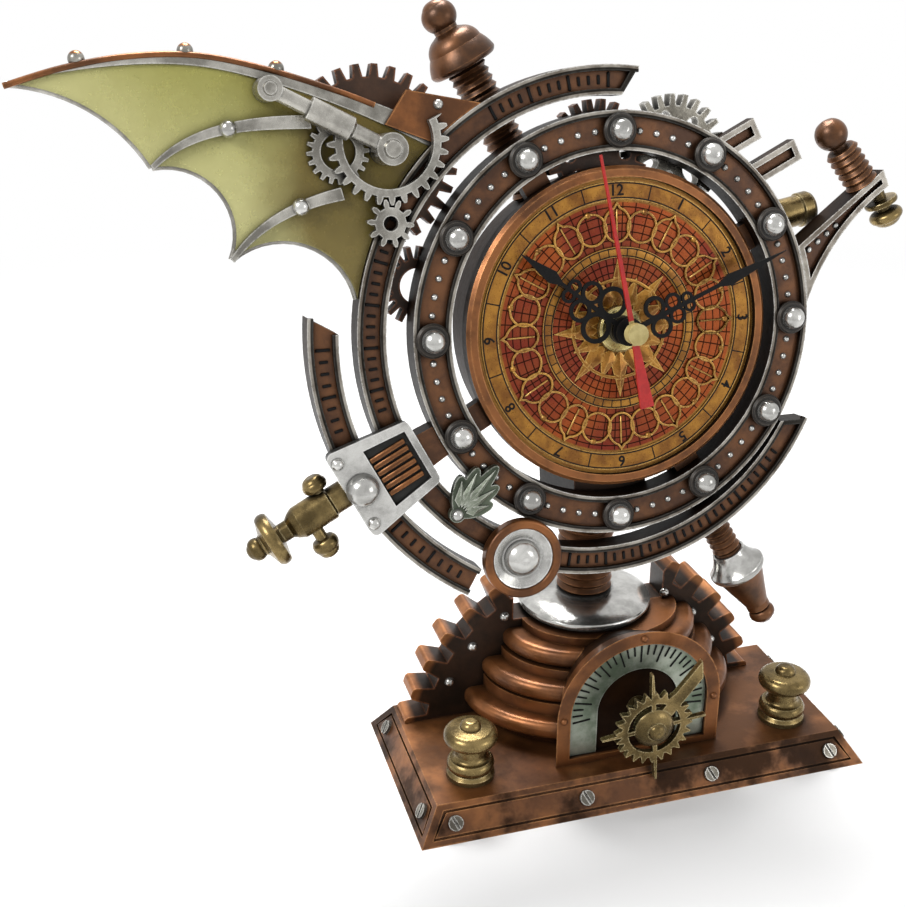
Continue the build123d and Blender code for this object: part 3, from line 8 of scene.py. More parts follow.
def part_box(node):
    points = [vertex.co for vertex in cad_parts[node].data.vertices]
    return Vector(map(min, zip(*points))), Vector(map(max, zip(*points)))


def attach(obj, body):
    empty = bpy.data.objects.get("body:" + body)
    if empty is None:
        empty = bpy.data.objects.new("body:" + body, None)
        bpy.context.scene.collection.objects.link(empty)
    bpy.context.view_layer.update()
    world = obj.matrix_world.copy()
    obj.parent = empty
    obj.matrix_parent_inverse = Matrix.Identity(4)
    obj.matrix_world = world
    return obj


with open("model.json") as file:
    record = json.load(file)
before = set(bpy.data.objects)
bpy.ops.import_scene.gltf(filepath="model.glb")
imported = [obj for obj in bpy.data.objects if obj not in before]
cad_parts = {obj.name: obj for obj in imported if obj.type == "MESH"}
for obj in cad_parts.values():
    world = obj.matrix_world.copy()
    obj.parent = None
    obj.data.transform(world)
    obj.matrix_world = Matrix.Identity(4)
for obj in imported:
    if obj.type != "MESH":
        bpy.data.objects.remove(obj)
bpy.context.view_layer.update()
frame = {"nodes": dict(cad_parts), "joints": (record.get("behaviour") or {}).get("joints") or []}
nodes = frame["nodes"]
mm = 0.001
print("frame loaded:", len(nodes), "nodes")

# the dial's own plane: x to the right, y up the dial, z out of it
handJoint = next(joint for joint in frame["joints"] if joint["name"] == "minute_turn")
headNormal = -Vector(handJoint["axis"]).normalized()
headRight = Vector((1, 0, 0))
headUp = headNormal.cross(headRight)
headPlace = Matrix((headRight, headUp, headNormal)).transposed().to_4x4()
headPlace.translation = Vector(handJoint["pos_m"])

# the gauge's own plane: x to the right, y up, z to the front
gaugeLow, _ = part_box("gauge_scale")
gauge = {"middleHeight": 26.6 * mm, "scaleFront": gaugeLow.y}
gaugePlace = Matrix(((1, 0, 0), (0, 0, -1), (0, 1, 0))).to_4x4()
gaugePlace.translation = Vector((0, gauge["scaleFront"], gauge["middleHeight"]))


def srgb(red, green, blue):
    linear = []
    for value in (red / 255, green / 255, blue / 255):
        linear.append(value / 12.92 if value <= 0.04045 else ((value + 0.055) / 1.055) ** 2.4)
    return (*linear, 1.0)


# shader helpers: a socket is fed by another socket or set to a plain value
def addNode(tree, kind, **values):
    node = tree.nodes.new(kind)
    for name, value in values.items():
        setattr(node, name, value)
    return node


def feed(tree, socket, value):
    if isinstance(value, bpy.types.NodeSocket):
        tree.links.new(value, socket)
    else:
        socket.default_value = value


def maths(tree, operation, *values, clamp=False):
    node = addNode(tree, "ShaderNodeMath", operation=operation, use_clamp=clamp)
    for socket, value in zip(node.inputs, values):
        feed(tree, socket, value)
    return node.outputs[0]


def mixColour(tree, factor, first, second):
    node = addNode(tree, "ShaderNodeMix", data_type="RGBA")
    feed(tree, node.inputs[0], factor)
    feed(tree, node.inputs[6], first)
    feed(tree, node.inputs[7], second)
    return node.outputs[2]


# a smooth step from 0 at one value to 1 at another
def span(tree, value, low, high):
    node = addNode(tree, "ShaderNodeMapRange", interpolation_type="SMOOTHSTEP")
    for socket, given in zip(node.inputs, (value, low, high)):
        feed(tree, socket, given)
    return node.outputs[0]


def distance(tree, across, up):
    squares = maths(tree, "MULTIPLY_ADD", across, across, maths(tree, "MULTIPLY", up, up))
    return maths(tree, "SQRT", squares)


def splitParts(tree, vector):
    parts = addNode(tree, "ShaderNodeSeparateXYZ")
    tree.links.new(vector, parts.inputs[0])
    return parts.outputs


def noise(tree, vector, scale, detail, rough):
    node = addNode(tree, "ShaderNodeTexNoise")
    feed(tree, node.inputs["Vector"], vector)
    feed(tree, node.inputs["Scale"], scale)
    node.inputs["Detail"].default_value = detail
    node.inputs["Roughness"].default_value = rough
    return node.outputs["Fac"]


def newGroup(name, inputs, outputs):
    tree = bpy.data.node_groups.new(name, "ShaderNodeTree")
    for socketName, kind in inputs:
        tree.interface.new_socket(name=socketName, in_out="INPUT", socket_type=kind)
    for socketName in outputs:
        tree.interface.new_socket(name=socketName, in_out="OUTPUT", socket_type="NodeSocketFloat")
    return tree, tree.nodes.new("NodeGroupInput"), tree.nodes.new("NodeGroupOutput")


# hand-painted casting: blotches, specks, dark wash in the recesses and rubbed edges; the wash follows
# occlusion, so in the hollows it is the casting's antique wash together with painted shade, and on the quartz
# movement's parts it is painted shade alone
aging = {
    "blotch": (0.36, 0.66), "blotchDetail": 6.0, "blotchRough": 0.62, "speckScale": 11.0, "speckDetail": 3.0,
    "speckRough": 0.7, "hiddenSamples": 6, "washAndShadeBreak": 0.22, "washAndShade": (0.30, 0.78), "bevelSamples": 4,
    "bend": (0.015, 0.13), "rub": (0.30, 0.55), "heightShare": 0.5,
}


def buildAgedPaint():
    tree, given, out = newGroup(
        "agedPaint",
        (("Vector", "NodeSocketVector"), ("Scale", "NodeSocketFloat"), ("Reach", "NodeSocketFloat"),
         ("Edge Width", "NodeSocketFloat")),
        ("Blotch", "Speck", "WashAndShade", "Edge", "Height"),
    )
    vector = given.outputs["Vector"]
    clouds = noise(tree, vector, given.outputs["Scale"], aging["blotchDetail"], aging["blotchRough"])
    blotch = span(tree, clouds, *aging["blotch"])
    speckScale = maths(tree, "MULTIPLY", given.outputs["Scale"], aging["speckScale"])
    speck = noise(tree, vector, speckScale, aging["speckDetail"], aging["speckRough"])
    # painted shade: the occlusion at each point darkens it through the wash
    hidden = addNode(tree, "ShaderNodeAmbientOcclusion", samples=aging["hiddenSamples"])
    feed(tree, hidden.inputs["Distance"], given.outputs["Reach"])
    covered = maths(tree, "SUBTRACT", 1.0, hidden.outputs["AO"])
    broken = maths(tree, "MULTIPLY_ADD", blotch, aging["washAndShadeBreak"], covered)
    washAndShade = span(tree, broken, *aging["washAndShade"])
    rounded = addNode(tree, "ShaderNodeBevel", samples=aging["bevelSamples"])
    feed(tree, rounded.inputs["Radius"], given.outputs["Edge Width"])
    surface = addNode(tree, "ShaderNodeNewGeometry")
    agree = addNode(tree, "ShaderNodeVectorMath", operation="DOT_PRODUCT")
    tree.links.new(rounded.outputs["Normal"], agree.inputs[0])
    tree.links.new(surface.outputs["Normal"], agree.inputs[1])
    bent = maths(tree, "SUBTRACT", 1.0, agree.outputs["Value"])
    rubbed = maths(tree, "MULTIPLY", span(tree, bent, *aging["bend"]), span(tree, speck, *aging["rub"]))
    edge = maths(tree, "MULTIPLY", rubbed, maths(tree, "SUBTRACT", 1.0, washAndShade))
    share = aging["heightShare"]
    height = maths(tree, "MULTIPLY_ADD", blotch, share, maths(tree, "MULTIPLY", speck, share))
    for socket, value in zip(out.inputs, (blotch, speck, washAndShade, edge, height)):
        tree.links.new(value, socket)
    return tree


# distances in the dial's plane, in metres, and the angle in turns from the right
def buildHeadFrame():
    tree, given, out = newGroup(
        "headFrame", (("Vector", "NodeSocketVector"),), ("Across", "Up", "Out", "Radius", "Turn"),
    )
    turned = addNode(tree, "ShaderNodeMapping", vector_type="TEXTURE")
    turned.inputs["Location"].default_value = headPlace.translation
    turned.inputs["Rotation"].default_value = headPlace.to_euler()
    tree.links.new(given.outputs["Vector"], turned.inputs["Vector"])
    across, up, away = splitParts(tree, turned.outputs[0])
    turn = maths(tree, "DIVIDE", maths(tree, "ARCTAN2", up, across), 2 * math.pi)
    for socket, value in zip(out.inputs, (across, up, away, distance(tree, across, up), turn)):
        tree.links.new(value, socket)
    return tree


agedPaint = buildAgedPaint()
headFrame = buildHeadFrame()


def useGroup(tree, group, **values):
    node = addNode(tree, "ShaderNodeGroup", node_tree=group)
    for name, value in values.items():
        feed(tree, node.inputs[name.replace("_", " ")], value)
    return node


def startMaterial(look):
    material = bpy.data.materials.new(look["name"])
    material.use_nodes = True
    tree = material.node_tree
    shader = tree.nodes["Principled BSDF"]
    where = addNode(tree, "ShaderNodeTexCoord").outputs["Object"]
    return material, tree, shader, where


# what a look takes where it doesn't say otherwise, and how specks and the wash with its painted shade change
# the gloss
plain = {
    "scale": 70.0, "reach": 4 * mm, "edgeWidth": 0.7 * mm, "wear": 0.8, "washAndShadeAmount": 0.9, "metallic": 0.0,
    "gloss": 0.5, "rough": 0.4, "bump": 0.25,
}
glossChange = {"speckRough": 0.22, "washAndShadeRough": 0.25, "bumpDepth": 0.3 * mm}


# the paint of one casting: a second look takes over where the mask says so; where it is darker, the look's
# dark colour shows and the face is dull; the wash and the darker mask carry painted shade as well as dark
# paint and marks
def paint(tree, shader, where, look, over=None, mask=None, darker=None):
    full = {**plain, **look}
    aged = useGroup(
        tree, agedPaint, Vector=where, Scale=full["scale"], Reach=full["reach"], Edge_Width=full["edgeWidth"],
    )
    blotch, speck, washAndShade, edge, height = aged.outputs

    def coat(colours):
        colours = {**plain, **colours}
        ground = mixColour(tree, blotch, colours["base"], colours["light"])
        worn = maths(tree, "MULTIPLY", edge, colours["wear"])
        washAndShadeAmount = maths(tree, "MULTIPLY", washAndShade, colours["washAndShadeAmount"])
        return mixColour(tree, washAndShadeAmount, mixColour(tree, worn, ground, colours["edge"]), colours["dark"])

    colour = coat(full)
    # painted shade: wherever the wash and the darker mask lie, metal and gloss are taken away as well
    shade = maths(tree, "MULTIPLY", washAndShade, full["washAndShadeAmount"])
    if over:
        colour = mixColour(tree, mask, colour, coat(over))
    if darker:
        colour = mixColour(tree, darker, colour, full["dark"])
        shade = maths(tree, "MAXIMUM", shade, darker)
    tree.links.new(colour, shader.inputs["Base Color"])
    clean = maths(tree, "SUBTRACT", 1.0, shade, clamp=True)
    tree.links.new(maths(tree, "MULTIPLY", clean, full["metallic"]), shader.inputs["Metallic"])
    tree.links.new(maths(tree, "MULTIPLY", clean, full["gloss"]), shader.inputs["Specular IOR Level"])
    smoothest = full["rough"] - glossChange["speckRough"] / 2
    spread = maths(tree, "MULTIPLY_ADD", speck, glossChange["speckRough"], smoothest)
    dull = maths(tree, "MULTIPLY_ADD", washAndShade, glossChange["washAndShadeRough"], spread, clamp=True)
    tree.links.new(dull, shader.inputs["Roughness"])
    bump = addNode(tree, "ShaderNodeBump")
    bump.inputs["Strength"].default_value = full["bump"]
    bump.inputs["Distance"].default_value = glossChange["bumpDepth"]
    tree.links.new(height, bump.inputs["Height"])
    tree.links.new(bump.outputs["Normal"], shader.inputs["Normal"])


def castingMaterial(look):
    material, tree, shader, where = startMaterial(look)
    paint(tree, shader, where, look)
    return material


# how far a face looks along a direction, from 0 to 1
def facing(tree, direction, low=0.35, high=0.75):
    normal = addNode(tree, "ShaderNodeTexCoord").outputs["Normal"]
    along = addNode(tree, "ShaderNodeVectorMath", operation="DOT_PRODUCT")
    tree.links.new(normal, along.inputs[0])
    along.inputs[1].default_value = direction
    return span(tree, along.outputs["Value"], low, high)


# channels: brown floor, bright rims above a given depth in the dial's plane, walls darkened with painted
# shade;
# where edge circles are given, a dark line lies along the inside of each rim
channel = {"depthBlend": 0.15 * mm, "lineBlend": 0.1 * mm, "wallRim": 0.25}


def channelMaterial(look, rim, depth, edges=None):
    material, tree, shader, where = startMaterial(look)
    head = useGroup(tree, headFrame, Vector=where)
    onRim = span(tree, head.outputs["Out"], depth - channel["depthBlend"], depth + channel["depthBlend"])
    front = facing(tree, headNormal)
    share = maths(tree, "MULTIPLY_ADD", front, 1.0 - channel["wallRim"], channel["wallRim"])
    worn = maths(tree, "MULTIPLY", onRim, share)
    # painted shade: faces that don't look out of the dial are darkened and dulled
    dark = maths(tree, "MULTIPLY", maths(tree, "SUBTRACT", 1.0, front), look["wallShade"])
    if edges:
        across = maths(tree, "SUBTRACT", head.outputs["Across"], edges["middle"])
        radius = distance(tree, across, head.outputs["Up"])
        nearest = edges["rim"]
        for circle in edges["circles"]:
            gap = maths(tree, "ABSOLUTE", maths(tree, "SUBTRACT", radius, circle))
            nearest = maths(tree, "MINIMUM", nearest, gap)
        blend = channel["lineBlend"]
        inside = span(tree, nearest, edges["bright"] - blend, edges["bright"] + blend)
        line = maths(tree, "MULTIPLY", maths(tree, "MULTIPLY", inside, onRim), edges["cover"])
        dark = maths(tree, "MAXIMUM", dark, line)
    paint(tree, shader, where, look, rim, worn, dark)
    return material


# a casting whose other paint starts at a radius about an axis along y
def tippedMaterial(look, tip, centre, radius):
    material, tree, shader, where = startMaterial(look)
    x, _, z = splitParts(tree, where)
    across = maths(tree, "SUBTRACT", x, centre[0])
    up = maths(tree, "SUBTRACT", z, centre[1])
    paint(tree, shader, where, look, tip, span(tree, distance(tree, across, up), *radius))
    return material


# the second hand's cap is another metal than its blade
def cappedMaterial(look, cap, radius, blend):
    material, tree, shader, where = startMaterial(look)
    head = useGroup(tree, headFrame, Vector=where)
    onCap = span(tree, head.outputs["Radius"], radius + blend, radius - blend)
    paint(tree, shader, where, look, cap, onCap)
    return material


# a casting with another paint on the faces that look along a direction
def edgedMaterial(look, strip, direction, turned):
    material, tree, shader, where = startMaterial(look)
    paint(tree, shader, where, look, strip, facing(tree, direction, *turned))
    return material


# enamel between the dial's relief: orange cells that turn red in places, gold on the ring
def dialMaterial(look, enamel):
    material, tree, shader, where = startMaterial(look)
    head = useGroup(tree, headFrame, Vector=where)
    radius = head.outputs["Radius"]
    clouds = noise(tree, where, enamel["patchScale"], enamel["patchDetail"], enamel["patchRough"])
    warm = mixColour(tree, span(tree, clouds, *enamel["patch"]), enamel["orange"], enamel["red"])
    fromInner = span(tree, radius, enamel["from"], enamel["from"] + enamel["blend"])
    toOuter = span(tree, radius, enamel["to"] + enamel["blend"], enamel["to"])
    flat = facing(tree, headNormal, *enamel["flat"])
    floor = span(tree, head.outputs["Out"], *enamel["depth"])
    inField = maths(tree, "MULTIPLY", fromInner, toOuter)
    mask = maths(tree, "MULTIPLY", maths(tree, "MULTIPLY", inField, flat), floor)
    ringGap = maths(tree, "PINGPONG", radius, enamel["ringStep"])
    rayTurn = maths(tree, "PINGPONG", maths(tree, "MULTIPLY", head.outputs["Turn"], enamel["rays"]), 0.5)
    rayGap = maths(tree, "MULTIPLY", rayTurn, maths(tree, "MULTIPLY", radius, 2 * math.pi / enamel["rays"]))
    engraved = span(tree, maths(tree, "MINIMUM", ringGap, rayGap), *enamel["line"])
    darker = maths(tree, "MULTIPLY", maths(tree, "MULTIPLY", engraved, mask), enamel["lineCover"])
    coat = dict(look, base=warm, light=warm, edge=warm)
    paint(tree, shader, where, look, coat, maths(tree, "MULTIPLY", mask, enamel["cover"]), darker)
    return material


# a casting with painted shade on the faces that don't look out of the dial; a pocket's floor gets painted
# shade too
def walledMaterial(look, wallShade, pocket=None):
    material, tree, shader, where = startMaterial(look)
    front = facing(tree, headNormal)
    dark = maths(tree, "MULTIPLY", maths(tree, "SUBTRACT", 1.0, front), wallShade)
    if pocket:
        head = useGroup(tree, headFrame, Vector=where)
        deep = span(tree, head.outputs["Out"], *pocket["depth"])
        dark = maths(tree, "MAXIMUM", dark, maths(tree, "MULTIPLY", deep, pocket["cover"]))
    paint(tree, shader, where, look, darker=dark)
    return material


# the gauge's housing is darkened with painted shade inside its recess
def recessMaterial(look, recess):
    material, tree, shader, where = startMaterial(look)
    across, back, high = splitParts(tree, where)
    above = maths(tree, "MAXIMUM", maths(tree, "SUBTRACT", high, recess["height"]), 0.0)
    inside = span(tree, distance(tree, across, above), *recess["radius"])
    deep = span(tree, back, *recess["depth"])
    dark = maths(tree, "MULTIPLY", maths(tree, "MULTIPLY", inside, deep), recess["cover"])
    paint(tree, shader, where, look, darker=dark)
    return material


# a casting with dark patina patches; they cover more of its sides, and that extra darkness is painted shade
def patinaMaterial(look, patinaAndShade):
    material, tree, shader, where = startMaterial(look)
    clouds = noise(tree, where, patinaAndShade["scale"], patinaAndShade["detail"], patinaAndShade["rough"])
    # painted shade: the patches spread further on the faces that don't look up
    side = maths(tree, "SUBTRACT", 1.0, facing(tree, (0, 0, 1), *patinaAndShade["flat"]))
    cover = maths(tree, "MULTIPLY_ADD", side, patinaAndShade["side"], patinaAndShade["top"])
    dark = maths(tree, "MULTIPLY", span(tree, clouds, *patinaAndShade["patch"]), cover)
    paint(tree, shader, where, look, darker=dark)
    return material


# stained resin: paler towards the hem, olive along the spar, brown behind the gears, and that brown is a
# stain mixed with painted shade of the gears
def membraneMaterial(look, stainAndShade):
    material, tree, shader, where = startMaterial(look)
    head = useGroup(tree, headFrame, Vector=where)
    across, up = head.outputs["Across"], head.outputs["Up"]
    cloud = noise(tree, where, stainAndShade["cloudScale"], stainAndShade["cloudDetail"], stainAndShade["cloudRough"])
    shift = maths(tree, "MULTIPLY", maths(tree, "SUBTRACT", cloud, 0.5), stainAndShade["cloud"])
    rise = maths(tree, "ADD", maths(tree, "MULTIPLY_ADD", across, stainAndShade["slope"], up), shift)
    # painted shade: the brown towards the gears also stands for the gears' shade
    brown = span(tree, maths(tree, "ADD", across, shift), *stainAndShade["brown"])
    pale = mixColour(tree, span(tree, rise, *stainAndShade["olive"]), stainAndShade["pale"], look["base"])
    tone = mixColour(tree, maths(tree, "MULTIPLY", brown, stainAndShade["brownCover"]), pale, stainAndShade["brownStainAndShade"])
    paint(tree, shader, where, dict(look, base=tone, light=tone))
    shader.inputs["Transmission Weight"].default_value = stainAndShade["clear"]
    shader.inputs["IOR"].default_value = stainAndShade["bend"]
    return material


bronzeLook = {
    "name": "bronzePaint", "base": srgb(88, 53, 27), "light": srgb(138, 88, 48), "dark": srgb(18, 13, 9),
    "edge": srgb(190, 132, 80), "metallic": 0.55, "rough": 0.38, "scale": 38.0, "reach": 4 * mm,
}
copperLook = {
    "name": "copperPaint", "base": srgb(86, 52, 27), "light": srgb(138, 86, 46), "dark": srgb(18, 12, 8),
    "edge": srgb(198, 138, 84), "metallic": 0.6, "rough": 0.34, "scale": 60.0, "reach": 5 * mm,
}
threadLook = dict(
    copperLook, name="threadCopper", base=srgb(62, 40, 24), light=srgb(112, 72, 42), edge=srgb(176, 122, 78),
)
darkBronzeLook = {
    "name": "darkBronze", "base": srgb(44, 32, 25), "light": srgb(72, 50, 36), "dark": srgb(12, 10, 8),
    "edge": srgb(160, 104, 72), "metallic": 0.55, "rough": 0.40, "scale": 80.0, "edgeWidth": 1.1 * mm,
}
blackenedLook = {
    "name": "blackenedSteel", "base": srgb(26, 23, 20), "light": srgb(44, 39, 34), "dark": srgb(8, 7, 6),
    "edge": srgb(120, 108, 94), "metallic": 0.4, "rough": 0.42, "scale": 120.0, "edgeWidth": 0.3 * mm,
}
archLook = dict(darkBronzeLook, name="archBronze", base=srgb(34, 25, 18), light=srgb(60, 41, 28))
# the channel look; its wall value sets how dark the painted shade on the channels' walls is
brownLook = {
    "name": "brownChannel", "base": srgb(68, 42, 25), "light": srgb(112, 72, 42), "dark": srgb(10, 8, 6),
    "edge": srgb(150, 102, 66), "metallic": 0.5, "rough": 0.38, "scale": 80.0, "reach": 3 * mm, "wallShade": 0.92,
}
pewterLook = {
    "name": "pewterPaint", "base": srgb(116, 113, 106), "light": srgb(182, 179, 171),
    "dark": srgb(18, 17, 15), "edge": srgb(230, 228, 222), "metallic": 0.85, "rough": 0.25, "scale": 75.0,
    "reach": 3.4 * mm,
}
silverLook = dict(
    pewterLook, name="silverPaint", base=srgb(150, 149, 145), light=srgb(206, 205, 201),
    edge=srgb(242, 241, 238), rough=0.2,
)
screwLook = dict(pewterLook, name="screwSteel", base=srgb(80, 76, 68), light=srgb(132, 128, 118))
greenLook = {
    "name": "greenPewter", "base": srgb(104, 118, 98), "light": srgb(178, 184, 170), "dark": srgb(18, 24, 16),
    "edge": srgb(214, 216, 206), "metallic": 0.7, "rough": 0.32, "scale": 70.0, "reach": 3 * mm,
}
ribLook = dict(greenLook, name="ribPewter", base=srgb(84, 92, 78), light=srgb(140, 146, 130))
leafLook = dict(greenLook, name="leafPewter", base=srgb(44, 52, 40), light=srgb(92, 100, 84))
brassLook = {
    "name": "brassPaint", "base": srgb(78, 65, 38), "light": srgb(138, 118, 76), "dark": srgb(20, 15, 8),
    "edge": srgb(220, 202, 154), "metallic": 0.85, "rough": 0.28, "scale": 85.0, "reach": 4 * mm,
}
nutLook = {
    "name": "nutBrass", "base": srgb(176, 158, 98), "light": srgb(204, 188, 128), "dark": srgb(60, 50, 24),
    "edge": srgb(236, 224, 176), "metallic": 0.9, "rough": 0.28, "scale": 160.0, "reach": 1.2 * mm,
}
wheelLook = {
    "name": "wheelPlastic", "base": srgb(226, 222, 208), "light": srgb(238, 235, 224),
    "dark": srgb(120, 116, 104), "edge": srgb(246, 244, 236), "rough": 0.42, "scale": 120.0,
    "reach": 1.5 * mm, "bump": 0.05,
}
caseLook = {
    "name": "blackPlastic", "base": srgb(30, 30, 31), "light": srgb(40, 40, 42), "dark": srgb(12, 12, 12),
    "edge": srgb(70, 70, 72), "rough": 0.55, "scale": 500.0, "reach": 2 * mm, "wear": 0.4,
}
magnetLook = {
    "name": "rotorMagnet", "base": srgb(52, 52, 54), "light": srgb(74, 74, 76), "dark": srgb(20, 20, 20),
    "edge": srgb(120, 120, 122), "metallic": 0.7, "rough": 0.5, "scale": 200.0,
}
coilLook = {
    "name": "coilWire", "base": srgb(150, 74, 34), "light": srgb(192, 104, 54), "dark": srgb(60, 26, 12),
    "edge": srgb(222, 150, 100), "metallic": 0.8, "rough": 0.3, "scale": 240.0,
}
boardLook = {
    "name": "boardGreen", "base": srgb(24, 92, 48), "light": srgb(40, 116, 62), "dark": srgb(10, 40, 20),
    "edge": srgb(120, 160, 120), "rough": 0.3, "scale": 260.0, "reach": 1 * mm,
}
batteryLook = {
    "name": "batteryJacket", "base": srgb(146, 148, 152), "light": srgb(172, 174, 178),
    "dark": srgb(60, 60, 64), "edge": srgb(214, 214, 216), "metallic": 0.7, "rough": 0.34, "scale": 60.0,
}
blackHandLook = {
    "name": "handBlack", "base": srgb(8, 8, 8), "light": srgb(15, 14, 14), "dark": srgb(4, 4, 4),
    "edge": srgb(40, 38, 36), "rough": 0.55, "gloss": 0.15, "scale": 240.0, "reach": 1 * mm,
    "edgeWidth": 0.25 * mm,
}
redHandLook = {
    "name": "handRed", "base": srgb(168, 24, 22), "light": srgb(190, 34, 30), "dark": srgb(80, 10, 8),
    "edge": srgb(216, 70, 60), "rough": 0.4, "scale": 240.0, "reach": 1 * mm, "edgeWidth": 0.2 * mm,
}
membraneLook = {
    "name": "wingMembrane", "base": srgb(178, 174, 92), "light": srgb(170, 170, 92), "dark": srgb(58, 54, 18),
    "edge": srgb(206, 204, 150), "rough": 0.26, "scale": 26.0, "reach": 6 * mm, "washAndShadeAmount": 0.7,
}
# membrane tints; the brown colour mixes a brown stain with painted shade of the gears
stainAndShade = {
    "pale": srgb(228, 224, 158), "brownStainAndShade": srgb(112, 88, 24), "brownCover": 0.85, "cloudScale": 24.0,
    "cloudDetail": 4.0, "cloudRough": 0.55, "cloud": 30 * mm, "slope": 0.55, "olive": (-22 * mm, 24 * mm),
    "brown": (-108 * mm, -86 * mm), "clear": 0.30, "bend": 1.35,
}
dialLook = {
    "name": "dialGold", "base": srgb(116, 72, 22), "light": srgb(166, 116, 42), "dark": srgb(20, 10, 3),
    "edge": srgb(232, 190, 108), "metallic": 0.6, "rough": 0.30, "scale": 130.0, "reach": 1.1 * mm,
}
enamel = {
    "orange": srgb(154, 66, 17), "red": srgb(116, 21, 10), "patchScale": 34.0, "patchDetail": 2.0,
    "patchRough": 0.5, "patch": (0.40, 0.58), "from": 7.5 * mm, "to": 35.6 * mm, "blend": 0.4 * mm,
    "flat": (0.80, 0.98), "depth": (3.37 * mm, 3.13 * mm), "cover": 0.85, "ringStep": 1.15 * mm, "rays": 54,
    "line": (0.252 * mm, 0.108 * mm), "lineCover": 0.9,
}
# plinth patina patches; the extra cover on the sides is painted shade
patinaAndShade = {
    "scale": 46.0, "detail": 5.0, "rough": 0.6, "patch": (0.40, 0.58), "flat": (0.5, 0.9), "top": 0.55,
    "side": 0.30,
}
archTips = {"centre": (-4.5 * mm, 1.5 * mm), "radius": (58.6 * mm, 61.2 * mm)}

band = {"middle": -3.5 * mm, "circles": (65.1 * mm, 73.3 * mm, 78.3 * mm, 87.0 * mm)}
frameDepths = {"floor": 1.6 * mm, "rim": 2.3 * mm, "vaneRim": -5.6 * mm}
ringEdges = {
    "middle": 0.0, "circles": (50.0 * mm, 61.0 * mm), "rim": 1.7 * mm, "bright": 0.9 * mm, "cover": 0.9,
}
bandEdges = dict(ringEdges, **band)
# painted shade: how dark the gauge's recess, the plate's pocket and the walls of drum, bracket and plate are
# painted
gaugeRecess = {
    "height": gauge["middleHeight"], "radius": (23.4 * mm, 23.0 * mm), "depth": (-19.6 * mm, -18.8 * mm),
    "cover": 0.93,
}
platePocket = {"depth": (5.7 * mm, 5.3 * mm), "cover": 0.92}
wallShadeCover = {"drum": 0.94, "bracket": 0.9, "plate": 0.55}
handCap = {"radius": 3.6 * mm, "blend": 0.1 * mm}
sparEdge = (0.45, 0.7)
pewterRim = dict(pewterLook, base=srgb(92, 83, 72), light=srgb(166, 160, 150), wear=1.0)
copperTip = dict(copperLook, base=srgb(122, 76, 42), light=srgb(172, 114, 68))

materials = {look["name"]: castingMaterial(look) for look in (
    copperLook, threadLook, darkBronzeLook, blackenedLook, silverLook, screwLook, leafLook, ribLook,
    pewterLook, greenLook, brassLook, nutLook, wheelLook, caseLook, magnetLook, coilLook, boardLook,
    batteryLook, blackHandLook,
)}
# the channels get painted shade on their walls
for name, depth, edges in (
    ("ringChannel", frameDepths["rim"], ringEdges), ("bandChannel", frameDepths["rim"], bandEdges),
    ("brownChannel", frameDepths["rim"], None), ("vaneChannel", frameDepths["vaneRim"], None),
):
    materials[name] = channelMaterial(dict(brownLook, name=name), pewterRim, depth, edges)
# the plinth: patina patches, with painted shade that makes them denser on its sides
materials["bronzePaint"] = patinaMaterial(bronzeLook, patinaAndShade)
# painted shade in the gauge's recess, on the walls of drum, bracket and plate, and in the plate's pocket
materials["gaugeCopper"] = recessMaterial(dict(copperLook, name="gaugeCopper"), gaugeRecess)
materials["drumCopper"] = walledMaterial(dict(copperLook, name="drumCopper"), wallShadeCover["drum"])
materials["bracketBronze"] = walledMaterial(dict(darkBronzeLook, name="bracketBronze"), wallShadeCover["bracket"])
plateLook = dict(silverLook, name="plateSilver")
materials["plateSilver"] = walledMaterial(plateLook, wallShadeCover["plate"], platePocket)
materials["archBronze"] = tippedMaterial(archLook, copperTip, archTips["centre"], archTips["radius"])
materials["handRed"] = cappedMaterial(redHandLook, nutLook, handCap["radius"], handCap["blend"])
materials["sparPewter"] = edgedMaterial(dict(pewterLook, name="sparPewter"), copperTip, headUp, sparEdge)
materials["dialEnamel"] = dialMaterial(dict(dialLook, name="dialEnamel"), enamel)
materials["dialGold"] = castingMaterial(dialLook)
materials["wingMembrane"] = membraneMaterial(membraneLook, stainAndShade)
print("materials made:", len(materials))

wearing = {
    "bronzePaint": ("plinth",),
    "copperPaint": ("ribbed_body", "boss_ring", "wing_root"),
    "gaugeCopper": ("gauge_housing",),
    "drumCopper": ("dial_drum",),
    "threadCopper": ("post", "upper_finial", "lower_finial", "arm_screw"),
    "archBronze": ("gear_arch",),
    "bracketBronze": ("head_bracket",),
    "darkBronze": ("back_gears",),
    "blackenedSteel": ("bolt_washers",),
    "ringChannel": ("bolt_ring",),
    "bandChannel": ("main_band", "outer_arcs"),
    "brownChannel": ("arm",),
    "vaneChannel": ("vanes",),
    "screwSteel": ("slotted_screws", "back_gear_right"),
    "plateSilver": ("junction_plate",),
    "silverPaint": ("collar", "bolt_domes", "boss_dome", "cone_nut", "small_rivets"),
    "pewterPaint": ("gear_large", "gear_small", "gear_mid", "wing_fingers", "strut"),
    "sparPewter": ("wing_spar",),
    "greenPewter": ("gauge_scale",),
    "leafPewter": ("leaf_spray",),
    "brassPaint": ("base_knobs", "pointer_wheel", "taps", "arm_thumbnut", "barrel"),
    "nutBrass": ("hand_nut", "cannon_pinion"),
    "wheelPlastic": (
        "hour_wheel", "minute_wheel", "second_wheel", "centre_wheel", "third_wheel", "intermediate_wheel",
    ),
    "blackPlastic": ("movement_case", "movement_cover", "set_knob"),
    "rotorMagnet": ("rotor",),
    "coilWire": ("coil",),
    "boardGreen": ("circuit_board",),
    "batteryJacket": ("battery",),
    "handBlack": ("hour_hand", "minute_hand"),
    "handRed": ("second_hand",),
    "wingMembrane": ("wing_membrane",),
    "dialEnamel": ("dial_plate",),
}
